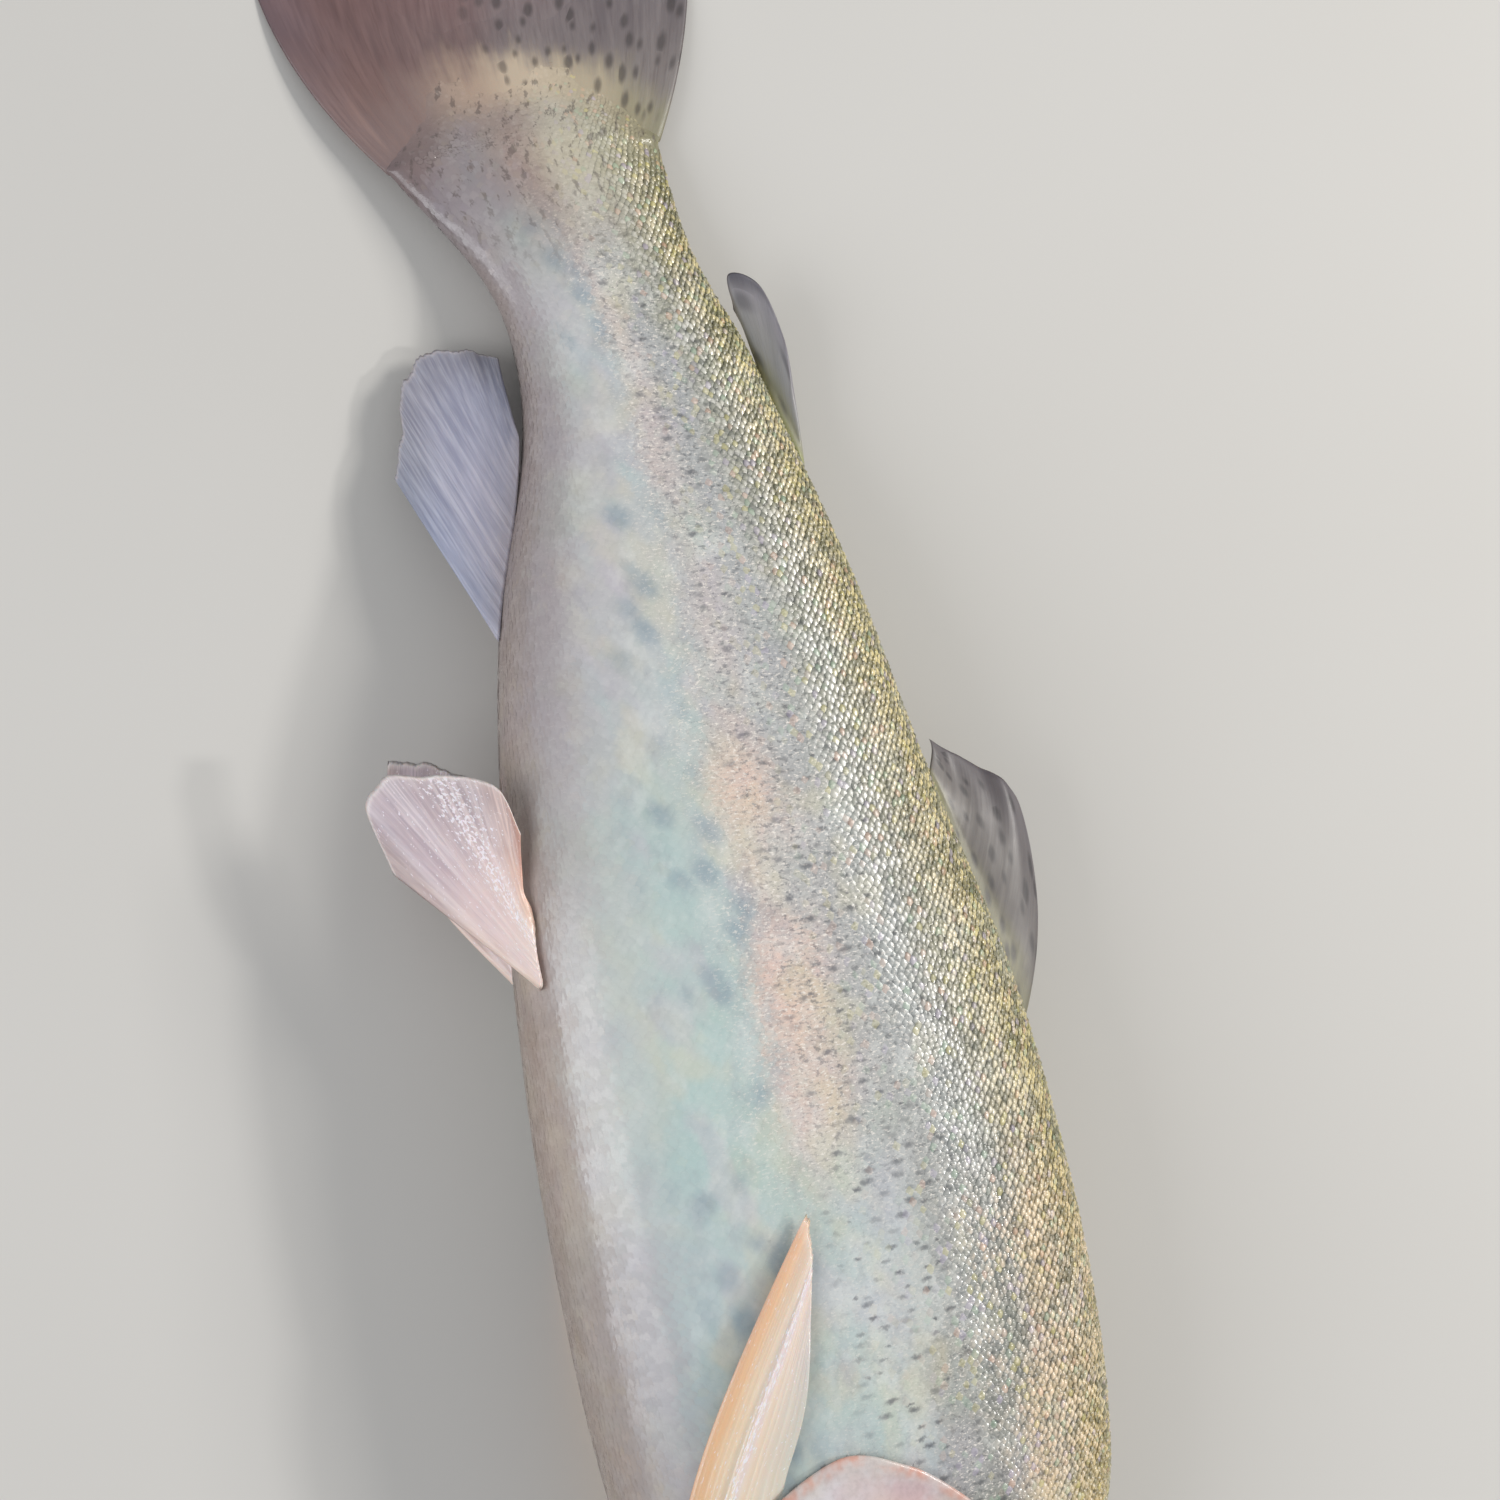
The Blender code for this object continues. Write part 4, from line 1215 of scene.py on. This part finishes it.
def makeDorsal():
    def ray(f, s):
        reach = between(0.039, 0.006, f ** 1.2) - 0.003 * (1 - np.minimum(f / 0.15, 1)) ** 2
        return sweep(reach, between(62, 58, f), 12, between(0.006, 0.003, f), s, 1)
    material = finMaterial("dorsalMembrane", dorsalTones)
    makeFin("dorsalFin", "dorsal_fin", material, rootLine(dorsal), ray, dorsal)


adipose = {
    "root": (0.797, 0.856), "around": 0.0, "shift": 0.0014, "thick": 0.0018, "ragged": 0.0,
    "ripple": (0.0002, 2, 0.3), "start": -0.10, "fleshy": 0.0006, "rayed": 0.0, "seed": 4, "bow": 0.0006,
    "tips": ((0.0, -13.5, 0.7, 0.0), (0.25, -18.5, 1.6, 1.5), (0.5, -24.0, -0.4, 3.0),
             (0.75, -22.0, -4.9, 3.0), (1.0, -10.5, -3.5, 1.2)),
}
adiposeTones = {
    "membrane": ((0.0, (166, 168, 106)), (0.2, (158, 156, 132)), (0.5, (150, 148, 146)), (1.0, (142, 138, 144))),
    "rays": ((0.0, (164, 164, 112)), (0.4, (160, 160, 160)), (1.0, (142, 138, 144))),
    "across": ((0.0, (250, 250, 255)), (1.0, (255, 255, 250))),
    "grain": (112, 110, 118), "rayShare": 0.2,
    "spots": (2.2, 3.2, 0.5), "spotTone": (74, 72, 78), "edge": ((80, 78, 88), 0.6, (0.90, 0.98)),
}

anal = {
    "root": (0.731, 0.840), "around": pi, "shift": -0.0012, "rays": 13, "ragged": 0.022,
    "ripple": (0.0004, 2.5, 0.4), "fleshy": 0.0007, "seed": 33, "bow": -0.0012,
    "tips": ((0.0, -32.7, -10.5, -9.5), (0.2, -33.4, -9.8, -9.2), (0.42, -34.4, -10.4, -9.0),
             (0.58, -33.4, -8.9, -8.6), (0.79, -25.3, -3.6, -7.4), (1.0, -14.7, 0.6, -4.7)),
}
analTones = {
    "membrane": ((0.0, (196, 190, 198)), (0.25, (168, 168, 186)), (0.6, (156, 158, 178)), (0.9, (146, 146, 160)),
                 (1.0, (158, 156, 166))),
    "rays": ((0.0, (220, 214, 220)), (0.5, (210, 210, 222)), (1.0, (200, 200, 208))),
    "across": ((0.0, (232, 242, 255)), (0.35, (250, 246, 250)), (0.75, (228, 226, 232)), (1.0, (196, 194, 200))),
    "grain": (134, 134, 152), "rayShare": 0.6, "edge": ((214, 206, 206), 0.45, (0.965, 0.995)),
}


def makeFannedFins():
    for name, node, own, look, tones in (
            ("adiposeFin", "adipose_fin", adipose, "adiposeFlesh", adiposeTones),
            ("analFin", "anal_fin", anal, "analMembrane", analTones)):
        ray = fanned(own["tips"], own["bow"])
        makeFin(name, node, finMaterial(look, tones), rootLine(own), ray, own)


caudal = {
    "rays": 19, "thick": 0.0012, "perRay": 9, "steps": 64, "ragged": 0.02, "ripple": (0.0004, 3, 0.4),
    "start": 0.0, "fleshy": 0.0002, "seed": 8,
    "gap": 0.0003,            # from the end of the tail stalk
    "pastRoot": True,         # its colours start where the scales end
}
caudalTones = {
    "membrane": ((0.0, (176, 166, 152)), (0.25, (136, 126, 122)), (0.6, (118, 108, 110)), (1.0, (128, 110, 112))),
    "rays": ((0.0, (192, 184, 168)), (0.4, (150, 140, 138)), (1.0, (144, 130, 132))),
    "across": ((0.0, (208, 210, 216)), (0.08, (236, 238, 240)), (0.45, (250, 250, 248)), (0.60, (240, 212, 206)),
               (0.85, (226, 182, 176)), (1.0, (236, 204, 210))),
    "acrossShare": 0.8, "grain": (98, 86, 86), "rayShare": 0.35, "root": markings["tailEnd"],
    "spots": (24, 8, 0.62), "spotsWhere": (0.72, 0.42), "spotsOut": (0.06, 0.14), "spotTone": (56, 50, 50),
    "edge": ((92, 78, 82), 0.5, (0.95, 0.99)),
}


def makeCaudal():
    tail = body["stalkEnd"] + caudal["gap"] / body["length"]
    back = bodyPoint(tail, 0.0)
    belly = bodyPoint(tail, pi)

    def root(f):
        return back[0], between(back[1], belly[1], f), spine(body["stalkEnd"])[2]
    material = finMaterial("caudalMembrane", caudalTones)
    makeFin("caudalFin", "caudal_fin", material, root, tailRayOffset, caudal)


pelvic = {
    "root": (0.545, 0.587), "around": radians(160), "shift": -0.0012, "apart": 0.0004, "rays": 10,
    "ragged": 0.006, "ripple": (0.0004, 2, 0.5), "fleshy": 0.0010, "seed": 12,
    "tips": ((0.0, -23.6, -18.4, -11.1), (0.12, -33.9, -21.4, -11.0), (0.25, -36.9, -18.3, -9.8),
             (0.5, -32.9, -11.5, -6.9), (0.7, -28.2, -4.5, -3.1), (0.85, -22.6, 0.0, 0.4), (1.0, -12.1, 1.6, 1.6)),
}
pelvicTones = {
    "membrane": ((0.0, (246, 228, 218)), (0.35, (234, 214, 210)), (0.65, (204, 188, 192)), (0.9, (186, 172, 178)),
                 (1.0, (200, 188, 190))),
    "rays": ((0.0, (248, 234, 226)), (0.5, (242, 228, 226)), (1.0, (232, 220, 222))),
    "across": ((0.0, (255, 244, 232)), (0.15, (250, 244, 250)), (0.65, (255, 250, 250)), (0.85, (255, 226, 206)),
               (1.0, (255, 196, 156))),
    "acrossShare": 0.7, "grain": (190, 170, 174), "rayShare": 0.9, "clear": 0.25, "gloss": 0.6,
    # shine: painted glints along one ray
    "paintedShine": (0.58, 0.22), "edge": ((246, 236, 232), 0.7, (0.965, 0.992)),
}


# the left one is tucked under the body
def makePelvics():
    def tucked(f, s):
        return sweep(between(0.046, 0.023, f), between(58, 94, f), between(18, 0, f), 0.022, s, -1)

    material = finMaterial("pelvicMembrane", pelvicTones)
    for name, node, side, ray in (("pelvicFinRight", "pelvic_fin_right", 1, fanned(pelvic["tips"])),
                                  ("pelvicFinLeft", "pelvic_fin_left", -1, tucked)):
        makeFin(name, node, material, rootLine(pelvic, side), ray, pelvic, seed=side)


pectoral = {
    "rays": 13, "ragged": 0.008, "ripple": (0.0002, 2, 0.4), "start": -0.05, "fleshy": 0.0008, "seed": 42,
    "ridge": (0.47, 0.0006),
    "rootAround": (152, 114),     # degrees around the body, for its first and last ray
    "behindRim": 0.008,
    "lift": 0.0014,
    # along the body and degrees around it where each ray of the right fin ends
    "tips": ((0.0, 0.405, 98.3), (0.15, 0.400, 98.2), (0.4, 0.384, 98.8), (0.7, 0.366, 100.3), (1.0, 0.342, 103.0)),
    "leftRoot": (0.234, 0.240),   # the same for the left fin's root
    "leftAround": (155, 130),
    "leftSunk": 0.0015,
}
pectoralTones = {
    "membrane": ((0.0, (248, 234, 218)), (0.4, (244, 230, 218)), (0.8, (238, 226, 222)), (1.0, (236, 222, 222))),
    "rays": ((0.0, (255, 248, 238)), (0.5, (255, 248, 240)), (1.0, (252, 242, 240))),
    "across": ((0.0, (244, 204, 166)), (0.14, (250, 212, 166)), (0.30, (252, 234, 206)), (0.42, (252, 244, 226)),
               (0.52, (250, 246, 250)), (0.62, (252, 242, 228)), (0.85, (236, 236, 230)), (1.0, (222, 230, 228))),
    "acrossShare": 0.9, "grain": (238, 214, 196), "gloss": 0.9, "rayShare": 0.5, "clear": 0.4,
    # shine: painted glints along the thick ray
    "paintedShine": (0.50, 0.12), "streaks": 0.5, "relief": 0.12, "edge": ((244, 230, 216), 0.4, (0.95, 0.985)),
}


# the right one is laid back over the flank, the left one is caught flat under the body
def makePectorals():
    share, tipAlong, tipAround = np.array(pectoral["tips"]).T

    def nowhere(f):
        return 0.0, 0.0, 0.0

    def laid(f, s):
        start = between(*pectoral["rootAround"], f)
        along = between(gillRim(np.radians(start)) + pectoral["behindRim"], curveThrough(f, share, tipAlong), s)
        around = between(start, curveThrough(f, share, tipAround), s) - 2 * f * np.sin(pi * s)
        lift = pectoral["lift"] * (1 + np.sin(pi * np.maximum(s, 0) ** 0.8)) + 0.05 * np.minimum(s, 0)
        return np.moveaxis(bodyPoint(along, np.radians(around), -lift), -1, 0)

    def rootUnder(f):
        around = -np.radians(between(*pectoral["leftAround"], f))
        x, y, z = np.moveaxis(bodyPoint(between(*pectoral["leftRoot"], f), around), -1, 0)
        return x, y, z - pectoral["leftSunk"]

    def caught(f, s):
        return sweep(between(0.064, 0.046, f), between(91, 94, f), 0, between(0.012, 0.010, f), s, 1, 0.85)

    material = finMaterial("pectoralMembrane", pectoralTones)
    for name, node, root, ray in (("pectoralFinRight", "pectoral_fin_right", nowhere, laid),
                                  ("pectoralFinLeft", "pectoral_fin_left", rootUnder, caught)):
        makeFin(name, node, material, root, ray, pectoral)


# eyes: half profiles turned around the eye's axis: mm out from it, mm forward. The ball is a low cup with the iris,
# and the lens bulges through the pupil. The front is a thin clear shell.
eyeBall = {
    "profile": ((0.0, 3.60), (1.0, 3.50), (1.9, 3.18), (2.7, 2.62), (2.95, 2.40), (3.2, 2.54), (3.7, 2.56),
                (4.4, 2.40), (5.1, 2.05), (5.6, 1.55), (6.2, 0.4), (6.35, -1.2), (5.6, -3.2), (3.6, -4.6),
                (0.0, -5.2)),
    "steps": 56,
    "irisRadius": 5.9,
    "iris": ((0.00, (6, 6, 8)), (0.495, (6, 6, 8)), (0.52, (226, 186, 100)), (0.57, (212, 184, 124)),
             (0.72, (196, 188, 166)), (0.87, (160, 154, 140)), (0.94, (84, 78, 68)), (1.00, (44, 40, 36))),
    "speckle": (46, 42, 40),
}
eyeFront = {
    "profile": ((0.0, 4.25), (1.5, 4.12), (3.0, 3.70), (4.3, 3.05), (5.3, 2.25), (5.95, 1.35),
                (5.80, 1.25), (5.2, 2.05), (4.2, 2.85), (2.9, 3.50), (1.45, 3.92), (0.0, 4.05)),
    "steps": 48,
}


def irisMaterial():
    material, n = newMaterial("troutIris")
    ring = n.attribute("ring")
    place = n.attribute("irisPlace", "Vector")
    speckle = n.noise(place, 6.0, 4, 0.65)
    spokes = n.noise(place, 2.2, 3, 0.6)
    colour = n.ramp(ring + (spokes - 0.5) * 0.06, eyeBall["iris"])
    dots = n.span(speckle, 0.52, 0.68) * n.span(ring, 0.54, 0.64)
    n.finish(colour=n.mix(dots * 0.75, colour, eyeBall["speckle"]),
             roughness=n.span(speckle, 0.3, 0.7, 0.22, 0.38), metal=0.35, coat=0.6, coatRoughness=0.05)
    return material


def corneaMaterial():
    material, n = newMaterial("clearCornea")
    film = n.noise(n.objectPlace(), 400)
    n.finish(colour=(0.97, 0.98, 0.98, 1.0), roughness=n.span(film, 0.3, 0.7, 0.02, 0.06), clear=1.0, bend=1.20)
    return material


# a profile spun into a closed shell that looks along +Z, then turned and moved to where the eye is
def makeShell(name, shell, centre, out, material, nodes):
    bm = bmesh.new()
    verts = [bm.verts.new((r * mm, 0, z * mm)) for r, z in shell["profile"]]
    edges = [bm.edges.new(pair) for pair in zip(verts, verts[1:])]
    bmesh.ops.spin(bm, geom=verts + edges, cent=(0, 0, 0), axis=(0, 0, 1), angle=2 * pi, steps=shell["steps"],
                   use_merge=True)
    bmesh.ops.remove_doubles(bm, verts=bm.verts, dist=0.00001)
    bmesh.ops.recalc_face_normals(bm, faces=bm.faces)
    if "irisRadius" in shell:
        rings = bm.verts.layers.float.new("ring")
        places = bm.verts.layers.float_vector.new("irisPlace")
        for vert in bm.verts:
            vert[rings] = min(vert.co.xy.length / (shell["irisRadius"] * mm), 1.0) if vert.co.z > 0 else 1.0
            vert[places] = vert.co / mm
    turn = Vector((0, 0, 1)).rotation_difference(Vector(out)).to_matrix().to_4x4()
    bmesh.ops.transform(bm, verts=bm.verts, matrix=Matrix.Translation(Vector(centre)) @ turn)
    mesh = bpy.data.meshes.new(name)
    bm.to_mesh(mesh)
    bm.free()
    mesh.shade_smooth()
    placed(name, mesh, material, nodes)


def makeEyes():
    iris, cornea = irisMaterial(), corneaMaterial()
    for end, node, (centre, out) in zip(("Right", "Left"), ("eye_right", "eye_left"), eyePlaces()):
        makeShell("eye" + end, eyeBall, centre, out, iris, (node,))
        makeShell("cornea" + end, eyeFront, centre, out, cornea, ())
    print("eyes done")


# floor, light, camera
stage = {
    "floor": 20.0,
    "floorTones": ((206, 203, 198), (214, 212, 208)),
    "roomTone": (0.93, 0.96, 1.0, 1.0),
    "worldLight": 0.42,
    "lamps": (                # name, place, watts, size, colour
        ("broadLamp", (-0.25, 1.05, 0.80), 8.5, 0.40, (1.0, 0.97, 0.92)),
        ("glintLamp", (0.30, 0.95, 0.75), 3.2, 0.08, (1.0, 0.98, 0.95)),
        ("fillLamp", (0.05, -1.05, 0.62), 6.2, 0.8, (0.97, 0.98, 1.0)),
    ),
}
view = {
    "target": (-0.0208, 0.0120, 0.015),
    "distance": 0.5,
    "tilt": radians(18.3),
    "roll": radians(-11.45),
    "lens": 63.6,
}


def makeStage():
    bm = bmesh.new()
    bmesh.ops.create_grid(bm, x_segments=2, y_segments=2, size=stage["floor"])
    mesh = bpy.data.meshes.new("floor")
    bm.to_mesh(mesh)
    bm.free()
    material, n = newMaterial("paleFloor")
    n.finish(colour=n.mix(n.noise(n.objectPlace(), 6), *stage["floorTones"]), roughness=0.8)
    mesh.materials.append(material)
    floor = bpy.data.objects.new("floor", mesh)
    bpy.context.scene.collection.objects.link(floor)

    world = bpy.data.worlds.new("softRoom")
    world.use_nodes = True
    background = world.node_tree.nodes["Background"].inputs
    background["Color"].default_value = stage["roomTone"]
    background["Strength"].default_value = stage["worldLight"]
    bpy.context.scene.world = world
    # a broad lamp and a small one for glints from the back's side, a fill from the belly's
    for name, place, watts, size, tone in stage["lamps"]:
        lamp = bpy.data.lights.new(name, "AREA")
        lamp.energy = watts
        lamp.size = size
        lamp.color = tone
        holder = bpy.data.objects.new(name, lamp)
        holder.location = place
        holder.rotation_euler = (-Vector(place)).to_track_quat("-Z", "Y").to_euler()
        bpy.context.scene.collection.objects.link(holder)


def makeCamera():
    back = Vector((0, -sin(view["tilt"]), cos(view["tilt"])))
    plainUp = Vector((-1, 0, 0))
    plainRight = Vector((0, cos(view["tilt"]), sin(view["tilt"])))
    right = plainRight * cos(view["roll"]) + plainUp * sin(view["roll"])
    up = -plainRight * sin(view["roll"]) + plainUp * cos(view["roll"])
    data = bpy.data.cameras.new("camera")
    data.sensor_width = 36
    data.lens = view["lens"]
    data.clip_start = 0.02
    camera = bpy.data.objects.new("camera", data)
    place = Vector(view["target"]) + back * view["distance"]
    turn = Matrix((right, up, back)).transposed().to_4x4()
    camera.matrix_world = Matrix.Translation(place) @ turn
    bpy.context.scene.collection.objects.link(camera)
    bpy.context.scene.camera = camera
    bpy.context.scene.view_settings.view_transform = "Standard"


makeCamera()
makeSkin()
makeScales()
makeDorsal()
makeFannedFins()
makeCaudal()
makePelvics()
makePectorals()
print("fins done")
makeEyes()
makeStage()
print("stage done")
